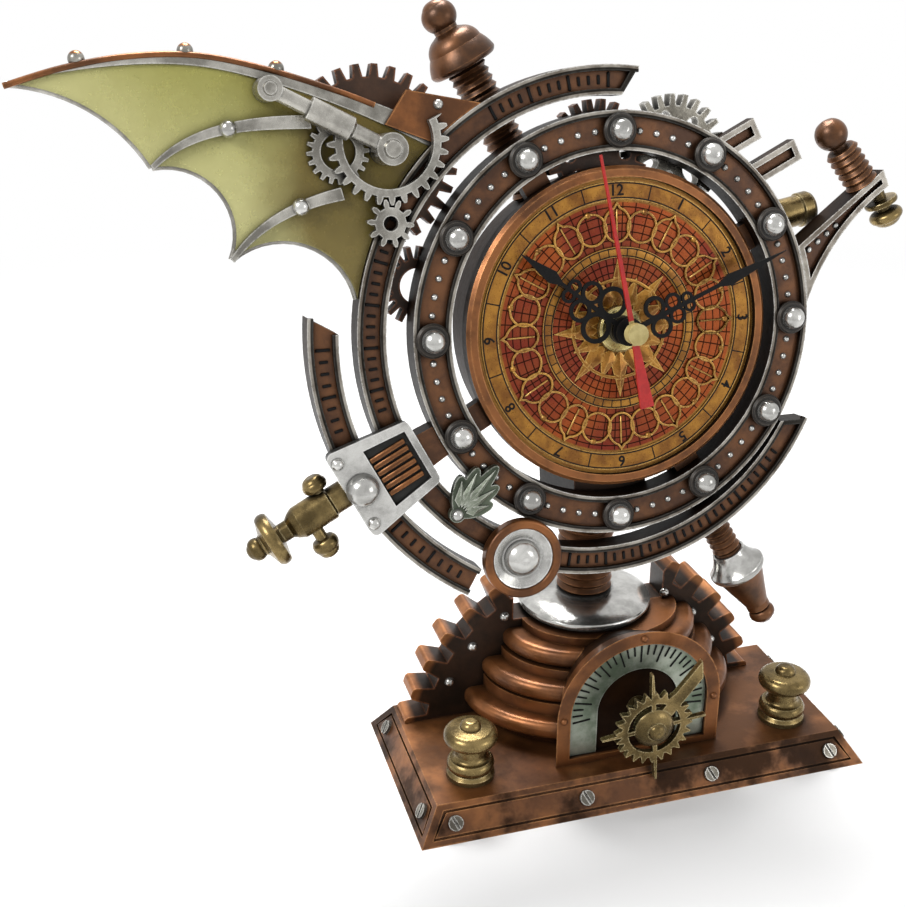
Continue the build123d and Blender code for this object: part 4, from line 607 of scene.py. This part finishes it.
for finish, names in wearing.items():
    for name in names:
        nodes[name].data.materials.clear()
        nodes[name].data.materials.append(materials[finish])
print("finishes on the frame's nodes:", sum(len(names) for names in wearing.values()))


# pieces are modelled flat in their own plane and then put in place in the mesh
def clearSelection():
    if bpy.context.object and bpy.context.object.mode != "OBJECT":
        bpy.ops.object.mode_set(mode="OBJECT")
    bpy.ops.object.select_all(action="DESELECT")


def openMesh(piece):
    clearSelection()
    piece.select_set(True)
    bpy.context.view_layer.objects.active = piece
    bpy.ops.object.mode_set(mode="EDIT")
    bpy.ops.mesh.select_mode(type="FACE")
    bpy.ops.mesh.select_all(action="SELECT")


def pickFaces(piece, wanted):
    bpy.ops.mesh.select_all(action="DESELECT")
    bpy.ops.object.mode_set(mode="OBJECT")
    for face in piece.data.polygons:
        face.select = wanted(face)
    bpy.ops.object.mode_set(mode="EDIT")


def pickPoints(piece, wanted):
    bpy.ops.mesh.select_mode(type="VERT")
    bpy.ops.mesh.select_all(action="DESELECT")
    bpy.ops.object.mode_set(mode="OBJECT")
    for point in piece.data.vertices:
        point.select = wanted(point.co)
    bpy.ops.object.mode_set(mode="EDIT")


def raiseFaces(height):
    bpy.ops.mesh.extrude_region_move(TRANSFORM_OT_translate={"value": (0, 0, height)})


meshing = {"merge": 0.005 * mm, "near": 0.01 * mm, "bevelAngle": 30.0, "barTaper": (0.97, 0.82, 1.0)}


def closeMesh(piece, bevel=0.0, segments=2, angle=35.0):
    bpy.ops.mesh.select_all(action="SELECT")
    bpy.ops.mesh.remove_doubles(threshold=meshing["merge"])
    bpy.ops.mesh.normals_make_consistent(inside=False)
    bpy.ops.object.mode_set(mode="OBJECT")
    if bevel:
        modifier = piece.modifiers.new("edges", "BEVEL")
        modifier.width = bevel
        modifier.segments = segments
        modifier.limit_method = "ANGLE"
        modifier.angle_limit = math.radians(meshing["bevelAngle"])
        bpy.ops.object.modifier_apply(modifier=modifier.name)
    bpy.ops.object.shade_smooth_by_angle(angle=math.radians(angle))


def copyOf(piece, move):
    copy = piece.copy()
    copy.data = piece.data.copy()
    bpy.context.scene.collection.objects.link(copy)
    copy.data.transform(move)
    return copy


def turnAbout(degreesTurned):
    return Matrix.Rotation(math.radians(degreesTurned), 4, "Z")


def joinAs(name, pieces):
    clearSelection()
    for piece in pieces:
        piece.select_set(True)
    bpy.context.view_layer.objects.active = pieces[0]
    if len(pieces) > 1:
        bpy.ops.object.join()
    joined = bpy.context.object
    joined.name = name
    return joined


def dress(piece, finish, place, body="clock"):
    piece.data.transform(place)
    piece.data.materials.clear()
    piece.data.materials.append(materials[finish])
    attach(piece, body)
    print("piece made:", piece.name, len(piece.data.polygons), "faces")


# a flat ring with rounded edges
def makeRing(outer, inner, low, height, bevel=0.0, points=96):
    clearSelection()
    bpy.ops.mesh.primitive_circle_add(vertices=points, radius=outer, fill_type="NGON", location=(0, 0, low))
    ring = bpy.context.object
    bpy.ops.object.transform_apply(location=True)
    openMesh(ring)
    bpy.ops.mesh.inset(thickness=outer - inner)
    bpy.ops.mesh.delete(type="FACE")
    bpy.ops.mesh.select_all(action="SELECT")
    raiseFaces(height)
    closeMesh(ring, bevel)
    return ring


# a bar along x with rounded edges, its low face at the given height
def makeBar(start, end, width, low, height, bevel):
    clearSelection()
    bpy.ops.mesh.primitive_cube_add(size=1.0, location=((start + end) / 2, 0, low + height / 2))
    bar = bpy.context.object
    bar.scale = (end - start, width, height)
    bpy.ops.object.transform_apply(location=True, scale=True)
    openMesh(bar)
    pickFaces(bar, lambda face: face.normal.z > 0.9)
    bpy.ops.transform.resize(value=meshing["barTaper"])
    closeMesh(bar, bevel, segments=1)
    return bar


# dial: numbers and cell lines on the ring, petals and loops outside the inner ring, a star inside it
dial = {
    "plate": 3.0 * mm, "ring": 3.5 * mm, "cellInner": 36.9 * mm, "cellOuter": 41.3 * mm, "line": 0.34 * mm,
    "lineHeight": 0.10 * mm, "numberRadius": 39.05 * mm, "numberSize": 4.4 * mm, "numberHeight": 0.10 * mm,
    "numberSwell": 0.06 * mm, "innerRing": (23.4 * mm, 20.4 * mm), "innerHeight": 0.7 * mm,
    "innerBevel": 0.2 * mm, "innerLine": (0.25 * mm, 0.55 * mm), "innerTicks": 48, "tickInset": 0.4 * mm,
    "tickWidth": 0.24 * mm, "hours": 12,
}
petal = {
    "root": 24.4 * mm, "tip": 34.6 * mm, "width": 8.6 * mm, "draw": 1.5 * mm, "ridge": 0.62 * mm,
    "height": 0.75 * mm, "bevel": 0.18 * mm, "points": 24, "vein": (25.6 * mm, 34.0 * mm),
    "veinWidth": 0.5 * mm, "veinHeight": 0.5 * mm, "veinBevel": 0.1 * mm, "bead": 0.95 * mm,
    "beadRadius": 33.6 * mm,
}
tracery = {
    "loop": (4.7 * mm, 4.08 * mm), "at": 29.4 * mm, "points": 40, "hoop": (14.6 * mm, 13.7 * mm),
    "height": 0.6 * mm, "bevel": 0.15 * mm,
}
star = {
    "points": 8, "long": (6.2 * mm, 20.0 * mm), "short": (6.2 * mm, 15.4 * mm), "width": 5.4 * mm,
    "base": 0.25 * mm, "peak": 0.75 * mm,
}
kiteShape = {"shoulder": 0.24, "smooth": 10.0}
beadShape = {"segments": 16, "rings": 12, "smooth": 60.0}


def makeNumber(hour):
    clearSelection()
    bpy.ops.object.text_add()
    text = bpy.context.object
    text.data.body = str(hour)
    text.data.size = dial["numberSize"]
    text.data.align_x = "CENTER"
    text.data.align_y = "CENTER"
    text.data.extrude = dial["numberHeight"]
    text.data.offset = dial["numberSwell"]
    text.data.resolution_u = 3
    bpy.ops.object.convert(target="MESH")
    number = bpy.context.object
    place = Matrix.Translation((0, dial["numberRadius"], dial["ring"]))
    number.data.transform(turnAbout(-360 / dial["hours"] * hour) @ place)
    return number


def makePetal():
    length = petal["tip"] - petal["root"]
    middle = ((petal["tip"] + petal["root"]) / 2, 0, dial["plate"])
    clearSelection()
    bpy.ops.mesh.primitive_circle_add(
        vertices=petal["points"], radius=length / 2, fill_type="NGON", location=middle,
    )
    leaf = bpy.context.object
    bpy.ops.object.transform_apply(location=True)
    openMesh(leaf)
    bpy.ops.transform.resize(value=(1, petal["width"] / length, 1), center_override=middle)
    pickPoints(leaf, lambda at: at.x > petal["tip"] - meshing["near"])
    bpy.ops.transform.translate(value=(petal["draw"], 0, 0))
    bpy.ops.mesh.select_mode(type="FACE")
    bpy.ops.mesh.select_all(action="SELECT")
    bpy.ops.mesh.inset(thickness=petal["ridge"])
    bpy.ops.mesh.delete(type="FACE")
    bpy.ops.mesh.select_all(action="SELECT")
    raiseFaces(petal["height"])
    closeMesh(leaf, petal["bevel"])
    return leaf


# a dome on a flat face
def makeBead(radius, place):
    clearSelection()
    bpy.ops.mesh.primitive_uv_sphere_add(
        segments=beadShape["segments"], ring_count=beadShape["rings"], radius=radius,
    )
    bead = bpy.context.object
    openMesh(bead)
    bpy.ops.mesh.bisect(plane_co=(0, 0, 0), plane_no=(0, 0, 1), use_fill=True, clear_inner=True)
    closeMesh(bead, angle=beadShape["smooth"])
    bead.data.transform(Matrix.Translation(place))
    return bead


# a four-sided ray along x with a raised middle
def makeKite(inner, outer, low, shape):
    clearSelection()
    bpy.ops.mesh.primitive_circle_add(vertices=4, radius=1.0, fill_type="NGON")
    kite = bpy.context.object
    kite.scale = ((outer - inner) / 2, shape["width"] / 2, 1)
    kite.location = ((outer + inner) / 2, 0, low)
    bpy.ops.object.transform_apply(location=True, scale=True)
    openMesh(kite)
    pickPoints(kite, lambda at: abs(at.y) > shape["width"] / 4)
    bpy.ops.transform.translate(value=(-kiteShape["shoulder"] * (outer - inner), 0, 0))
    bpy.ops.mesh.select_mode(type="FACE")
    bpy.ops.mesh.select_all(action="SELECT")
    raiseFaces(shape["base"])
    bpy.ops.mesh.poke(offset=shape["peak"])
    closeMesh(kite, angle=kiteShape["smooth"])
    return kite


def buildDial():
    hours = range(dial["hours"])
    step = 360 / dial["hours"]
    numbers = [makeNumber(hour + 1) for hour in hours]
    dress(joinAs("dialNumbers", numbers), "handBlack", headPlace)

    cells = (dial["cellInner"], dial["cellOuter"])
    lines = [
        makeRing(cells[0] + dial["line"], cells[0], dial["ring"], dial["lineHeight"]),
        makeRing(cells[1], cells[1] - dial["line"], dial["ring"], dial["lineHeight"]),
    ]
    divider = makeBar(*cells, dial["line"], dial["ring"], dial["lineHeight"], 0.0)
    lines += [copyOf(divider, turnAbout(step * (hour + 0.5))) for hour in hours]
    outer, inner = dial["innerRing"]
    top = dial["plate"] + dial["innerHeight"]
    near, far = dial["innerLine"]
    lines.append(makeRing(outer - near, outer - far, top, dial["lineHeight"]))
    lines.append(makeRing(inner + far, inner + near, top, dial["lineHeight"]))
    inset = dial["tickInset"]
    tick = makeBar(inner + inset, outer - inset, dial["tickWidth"], top, dial["lineHeight"], 0.0)
    lines += [copyOf(tick, turnAbout(360 / dial["innerTicks"] * i)) for i in range(dial["innerTicks"])]
    lines += [divider, tick]
    dress(joinAs("dialLines", lines), "handBlack", headPlace)

    relief = [makeRing(outer, inner, dial["plate"], dial["innerHeight"], dial["innerBevel"])]
    leaf = makePetal()
    vein = makeBar(*petal["vein"], petal["veinWidth"], dial["plate"], petal["veinHeight"], petal["veinBevel"])
    bead = makeBead(petal["bead"], (petal["beadRadius"], 0, dial["plate"]))
    for hour in hours:
        relief.append(copyOf(leaf, turnAbout(step * hour)))
        relief.append(copyOf(vein, turnAbout(step * hour)))
        relief.append(copyOf(bead, turnAbout(step * (hour + 0.5))))
    for reach, offset in ((star["long"], 0.0), (star["short"], 0.5)):
        kite = makeKite(*reach, dial["plate"], star)
        turns = [360 / star["points"] * (i + offset) for i in range(star["points"])]
        relief += [copyOf(kite, turnAbout(turn)) for turn in turns]
        bpy.data.objects.remove(kite)
    raised = (dial["plate"], tracery["height"], tracery["bevel"])
    loop = makeRing(*tracery["loop"], *raised, tracery["points"])
    loop.data.transform(Matrix.Translation((tracery["at"], 0, 0)))
    relief += [copyOf(loop, turnAbout(step * (hour + 0.5))) for hour in hours]
    relief.append(makeRing(*tracery["hoop"], *raised))
    bpy.data.objects.remove(loop)
    relief += [leaf, vein, bead]
    dress(joinAs("dialRelief", relief), "dialGold", headPlace)


# the band's middle lies to the left of the dial's
bandPlace = headPlace @ Matrix.Translation((band["middle"], 0, 0))

# graduation marks in the channels of the band and the outer arcs
marks = {
    "step": 2.4, "every": 4, "width": 0.85 * mm, "height": 0.45 * mm, "bevel": 0.12 * mm,
    "band": ((88.0, 117.0), (150.0, 194.0), (259.0, 322.0)), "bandMiddle": 69.2 * mm,
    "arcs": ((179.0, 195.0), (218.0, 235.0)), "arcMiddle": 82.65 * mm, "long": 4.0 * mm, "short": 2.4 * mm,
}


def buildMarks():
    made = []
    for zones, middle in ((marks["band"], marks["bandMiddle"]), (marks["arcs"], marks["arcMiddle"])):
        for start, end in zones:
            count = round((end - start) / marks["step"])
            for i in range(count + 1):
                half = (marks["long"] if i % marks["every"] == 0 else marks["short"]) / 2
                bar = makeBar(
                    middle - half, middle + half, marks["width"], frameDepths["floor"], marks["height"],
                    marks["bevel"],
                )
                bar.data.transform(turnAbout(start + (end - start) * i / count))
                made.append(bar)
    dress(joinAs("bandMarks", made), "handBlack", bandPlace)


# gauge: graduation on the scale and three rivets in the bezel
gaugeParts = {
    "ticks": 31, "every": 3, "long": (16.0 * mm, 21.8 * mm), "short": (18.4 * mm, 21.8 * mm),
    "width": 0.55 * mm, "height": 0.3 * mm, "bevel": 0.08 * mm, "start": -6.0, "sweep": 192.0,
    "rivetRadius": 1.15 * mm, "rivetAt": 25.1 * mm, "rivetTurns": (0, 90, 180), "bezelFront": 1.5 * mm,
}


def buildGauge():
    ticks = []
    for i in range(gaugeParts["ticks"]):
        reach = gaugeParts["long"] if i % gaugeParts["every"] == 0 else gaugeParts["short"]
        tick = makeBar(*reach, gaugeParts["width"], 0.0, gaugeParts["height"], gaugeParts["bevel"])
        turn = gaugeParts["start"] + gaugeParts["sweep"] * i / (gaugeParts["ticks"] - 1)
        tick.data.transform(turnAbout(turn))
        ticks.append(tick)
    dress(joinAs("gaugeTicks", ticks), "handBlack", gaugePlace)
    rivets = []
    for turn in gaugeParts["rivetTurns"]:
        place = turnAbout(turn) @ Vector((gaugeParts["rivetAt"], 0, gaugeParts["bezelFront"]))
        rivets.append(makeBead(gaugeParts["rivetRadius"], place))
    dress(joinAs("gaugeRivets", rivets), "copperPaint", gaugePlace)


# louvre in the junction plate's pocket
louvre = {
    "angle": 206.7, "middle": 72.6 * mm, "slats": 6, "pitch": 2.2 * mm, "length": 11.4 * mm,
    "width": 1.6 * mm, "floor": 5.0 * mm, "height": 0.8 * mm, "bevel": 0.2 * mm,
}


def buildLouvre():
    slats = []
    half = louvre["length"] / 2
    for i in range(louvre["slats"]):
        slat = makeBar(-half, half, louvre["width"], louvre["floor"], louvre["height"], louvre["bevel"])
        aside = (i - (louvre["slats"] - 1) / 2) * louvre["pitch"]
        slat.data.transform(turnAbout(louvre["angle"]) @ Matrix.Translation((louvre["middle"], aside, 0)))
        slats.append(slat)
    dress(joinAs("plateLouvre", slats), "copperPaint", bandPlace)


# a round rod through points in the dial's plane
rodShape = {"rounding": 3, "smooth": 60.0}


def makeRod(points, radius):
    clearSelection()
    bpy.ops.mesh.primitive_plane_add(size=1.0)
    rod = bpy.context.object
    openMesh(rod)
    bpy.ops.mesh.select_mode(type="VERT")
    bpy.ops.mesh.merge(type="CENTER")
    bpy.ops.transform.translate(value=points[0])
    for start, end in zip(points, points[1:]):
        bpy.ops.mesh.extrude_vertices_move(TRANSFORM_OT_translate={"value": end - start})
    bpy.ops.object.mode_set(mode="OBJECT")
    bpy.ops.object.convert(target="CURVE")
    rod = bpy.context.object
    rod.data.bevel_depth = radius
    rod.data.bevel_resolution = rodShape["rounding"]
    rod.data.use_fill_caps = True
    bpy.ops.object.convert(target="MESH")
    rod = bpy.context.object
    openMesh(rod)
    closeMesh(rod, angle=rodShape["smooth"])
    return rod


# wing: a thin hem along the scalloped edge, from the tip to the band
hem = {
    "ends": ((-159.8, 74.1), (-126.3, 52.2), (-108.2, 27.4), (-75.6, 14.5)),
    "middles": ((-138.4, 66.2), (-110.9, 46.7), (-92.7, 31.3)), "radius": 0.9 * mm, "steps": 14,
}


# the circle through three points, as its middle
def circleMiddle(first, second, third):
    ax, ay = second[0] - first[0], second[1] - first[1]
    bx, by = third[0] - first[0], third[1] - first[1]
    double = 2 * (ax * by - ay * bx)
    x = (by * (ax * ax + ay * ay) - ay * (bx * bx + by * by)) / double
    y = (ax * (bx * bx + by * by) - bx * (ax * ax + ay * ay)) / double
    return first[0] + x, first[1] + y


def buildHem():
    rods = []
    for start, middle, end in zip(hem["ends"], hem["middles"], hem["ends"][1:]):
        cx, cy = circleMiddle(start, middle, end)
        radius = math.hypot(start[0] - cx, start[1] - cy)
        turns = [math.atan2(at[1] - cy, at[0] - cx) for at in (start, middle, end)]
        sweep = (turns[2] - turns[0] + math.pi) % (2 * math.pi) - math.pi
        points = []
        for i in range(hem["steps"] + 1):
            turn = turns[0] + sweep * i / hem["steps"]
            points.append(Vector((cx + radius * math.cos(turn), cy + radius * math.sin(turn), 0)) * mm)
        rods.append(makeRod(points, hem["radius"]))
    dress(joinAs("wingHem", rods), "pewterPaint", headPlace)


# wing: a copper strip along the upper edge of the spar, from the tip to the root bracket
sparStrip = {
    "top": (
        (-159.8, 74.1), (-145.2, 77.9), (-129.0, 80.1), (-112.0, 79.7), (-94.5, 75.6), (-76.5, 69.4),
        (-67.5, 65.7),
    ),
    "drop": 0.6 * mm, "front": 1.5 * mm, "radius": 0.8 * mm, "steps": 6,
}


# the strip follows a smooth curve through the knots
def buildSparStrip():
    knots = [Vector((x * mm, y * mm - sparStrip["drop"], sparStrip["front"])) for x, y in sparStrip["top"]]
    points = [knots[0]]
    padded = [knots[0], *knots, knots[-1]]
    for before, start, end, after in zip(padded, padded[1:], padded[2:], padded[3:]):
        curve = geometry.interpolate_bezier(
            start, start + (end - before) / 6, end - (after - start) / 6, end, sparStrip["steps"] + 1,
        )
        points += curve[1:]
    strip = makeRod(points, sparStrip["radius"])
    dress(joinAs("sparStrip", [strip]), "copperPaint", headPlace)


# leaf spray: a raised rib along each lobe
leafRibs = {
    "place": (-51.44 * mm, -48.79 * mm, 0),
    "lobes": ((80.0, 11.5 * mm), (62.0, 14.8 * mm), (45.0, 18.2 * mm), (28.5, 14.6 * mm), (10.0, 11.0 * mm)),
    "root": 2.4 * mm, "short": 1.4 * mm, "front": 5.0 * mm, "width": 3.0 * mm, "base": 0.3 * mm,
    "peak": 0.7 * mm,
}


def buildLeafRibs():
    ribs = []
    for angle, length in leafRibs["lobes"]:
        rib = makeKite(leafRibs["root"], length - leafRibs["short"], leafRibs["front"], leafRibs)
        rib.data.transform(Matrix.Translation(leafRibs["place"]) @ turnAbout(angle))
        ribs.append(rib)
    dress(joinAs("leafRibs", ribs), "ribPewter", headPlace)


buildDial()
buildMarks()
buildGauge()
buildLouvre()
buildHem()
buildSparStrip()
buildLeafRibs()

# camera: the photograph's viewing angle
view = {
    "turn": math.radians(16.374), "drop": math.radians(23.417), "roll": math.radians(0.053),
    "place": (-151.0 * mm, -328.8 * mm, 259.7 * mm), "focal": 1300.0, "longSide": 907.0, "sensor": 36.0,
    "nearest": 10 * mm,
}
lens = bpy.data.cameras.new("camera")
lens.sensor_width = view["sensor"]
lens.lens = view["focal"] / view["longSide"] * view["sensor"]
lens.clip_start = view["nearest"]
camera = bpy.data.objects.new("camera", lens)
bpy.context.scene.collection.objects.link(camera)
camera.location = view["place"]
camera.rotation_euler = (math.pi / 2 - view["drop"], view["roll"], -view["turn"])
bpy.context.scene.camera = camera

# stage: pale floor that fades into the white background
stageLook = {
    "floorSize": 6.0, "floorColour": (0.86, 0.86, 0.86, 1.0), "rough": 0.9, "gloss": 0.1,
    "fade": (0.30, 0.75), "white": (1.0, 1.0, 1.0, 1.0), "fill": 0.22, "aim": (0, 0, 0.12),
}


# 1 for rays that show the stage itself, straight, in a reflection or through a clear piece
def seenDirectly(tree):
    path = addNode(tree, "ShaderNodeLightPath")
    seen = maths(tree, "MAXIMUM", path.outputs["Is Camera Ray"], path.outputs["Is Glossy Ray"])
    return maths(tree, "MAXIMUM", seen, path.outputs["Is Transmission Ray"])


def buildFloor():
    clearSelection()
    bpy.ops.mesh.primitive_plane_add(size=stageLook["floorSize"])
    floor = bpy.context.object
    floor.name = "floor"
    material = bpy.data.materials.new("paleFloor")
    material.use_nodes = True
    tree = material.node_tree
    shader = tree.nodes["Principled BSDF"]
    shader.inputs["Base Color"].default_value = stageLook["floorColour"]
    shader.inputs["Roughness"].default_value = stageLook["rough"]
    shader.inputs["Specular IOR Level"].default_value = stageLook["gloss"]
    glow = addNode(tree, "ShaderNodeEmission")
    where = addNode(tree, "ShaderNodeTexCoord").outputs["Object"]
    length = addNode(tree, "ShaderNodeVectorMath", operation="LENGTH")
    tree.links.new(where, length.inputs[0])
    far = span(tree, length.outputs["Value"], *stageLook["fade"])
    mix = addNode(tree, "ShaderNodeMixShader")
    tree.links.new(maths(tree, "MULTIPLY", far, seenDirectly(tree)), mix.inputs[0])
    tree.links.new(shader.outputs[0], mix.inputs[1])
    tree.links.new(glow.outputs[0], mix.inputs[2])
    tree.links.new(mix.outputs[0], tree.nodes["Material Output"].inputs["Surface"])
    floor.data.materials.append(material)


def buildWorld():
    world = bpy.data.worlds.new("studio")
    bpy.context.scene.world = world
    world.use_nodes = True
    tree = world.node_tree
    background = tree.nodes["Background"]
    background.inputs["Color"].default_value = stageLook["white"]
    strength = maths(tree, "MULTIPLY_ADD", seenDirectly(tree), 1.0 - stageLook["fill"], stageLook["fill"])
    tree.links.new(strength, background.inputs["Strength"])


lamps = (
    {"name": "topBox", "place": (0.0, 0.34, 0.85), "size": 0.4, "power": 11.0},
    {"name": "leftBox", "place": (-0.70, -0.25, 0.70), "size": 0.35, "power": 5.5},
    {"name": "rightCard", "place": (0.70, -0.75, 0.40), "size": 0.4, "power": 1.6},
)


def buildLamps():
    for lamp in lamps:
        light = bpy.data.lights.new(lamp["name"], "AREA")
        light.size = lamp["size"]
        light.energy = lamp["power"]
        holder = bpy.data.objects.new(lamp["name"], light)
        bpy.context.scene.collection.objects.link(holder)
        holder.location = lamp["place"]
        aim = Vector(stageLook["aim"]) - Vector(lamp["place"])
        holder.rotation_euler = aim.to_track_quat("-Z", "Y").to_euler()


buildFloor()
buildWorld()
buildLamps()
bpy.context.scene.view_settings.view_transform = "Standard"
print("stage, lamps and camera ready")
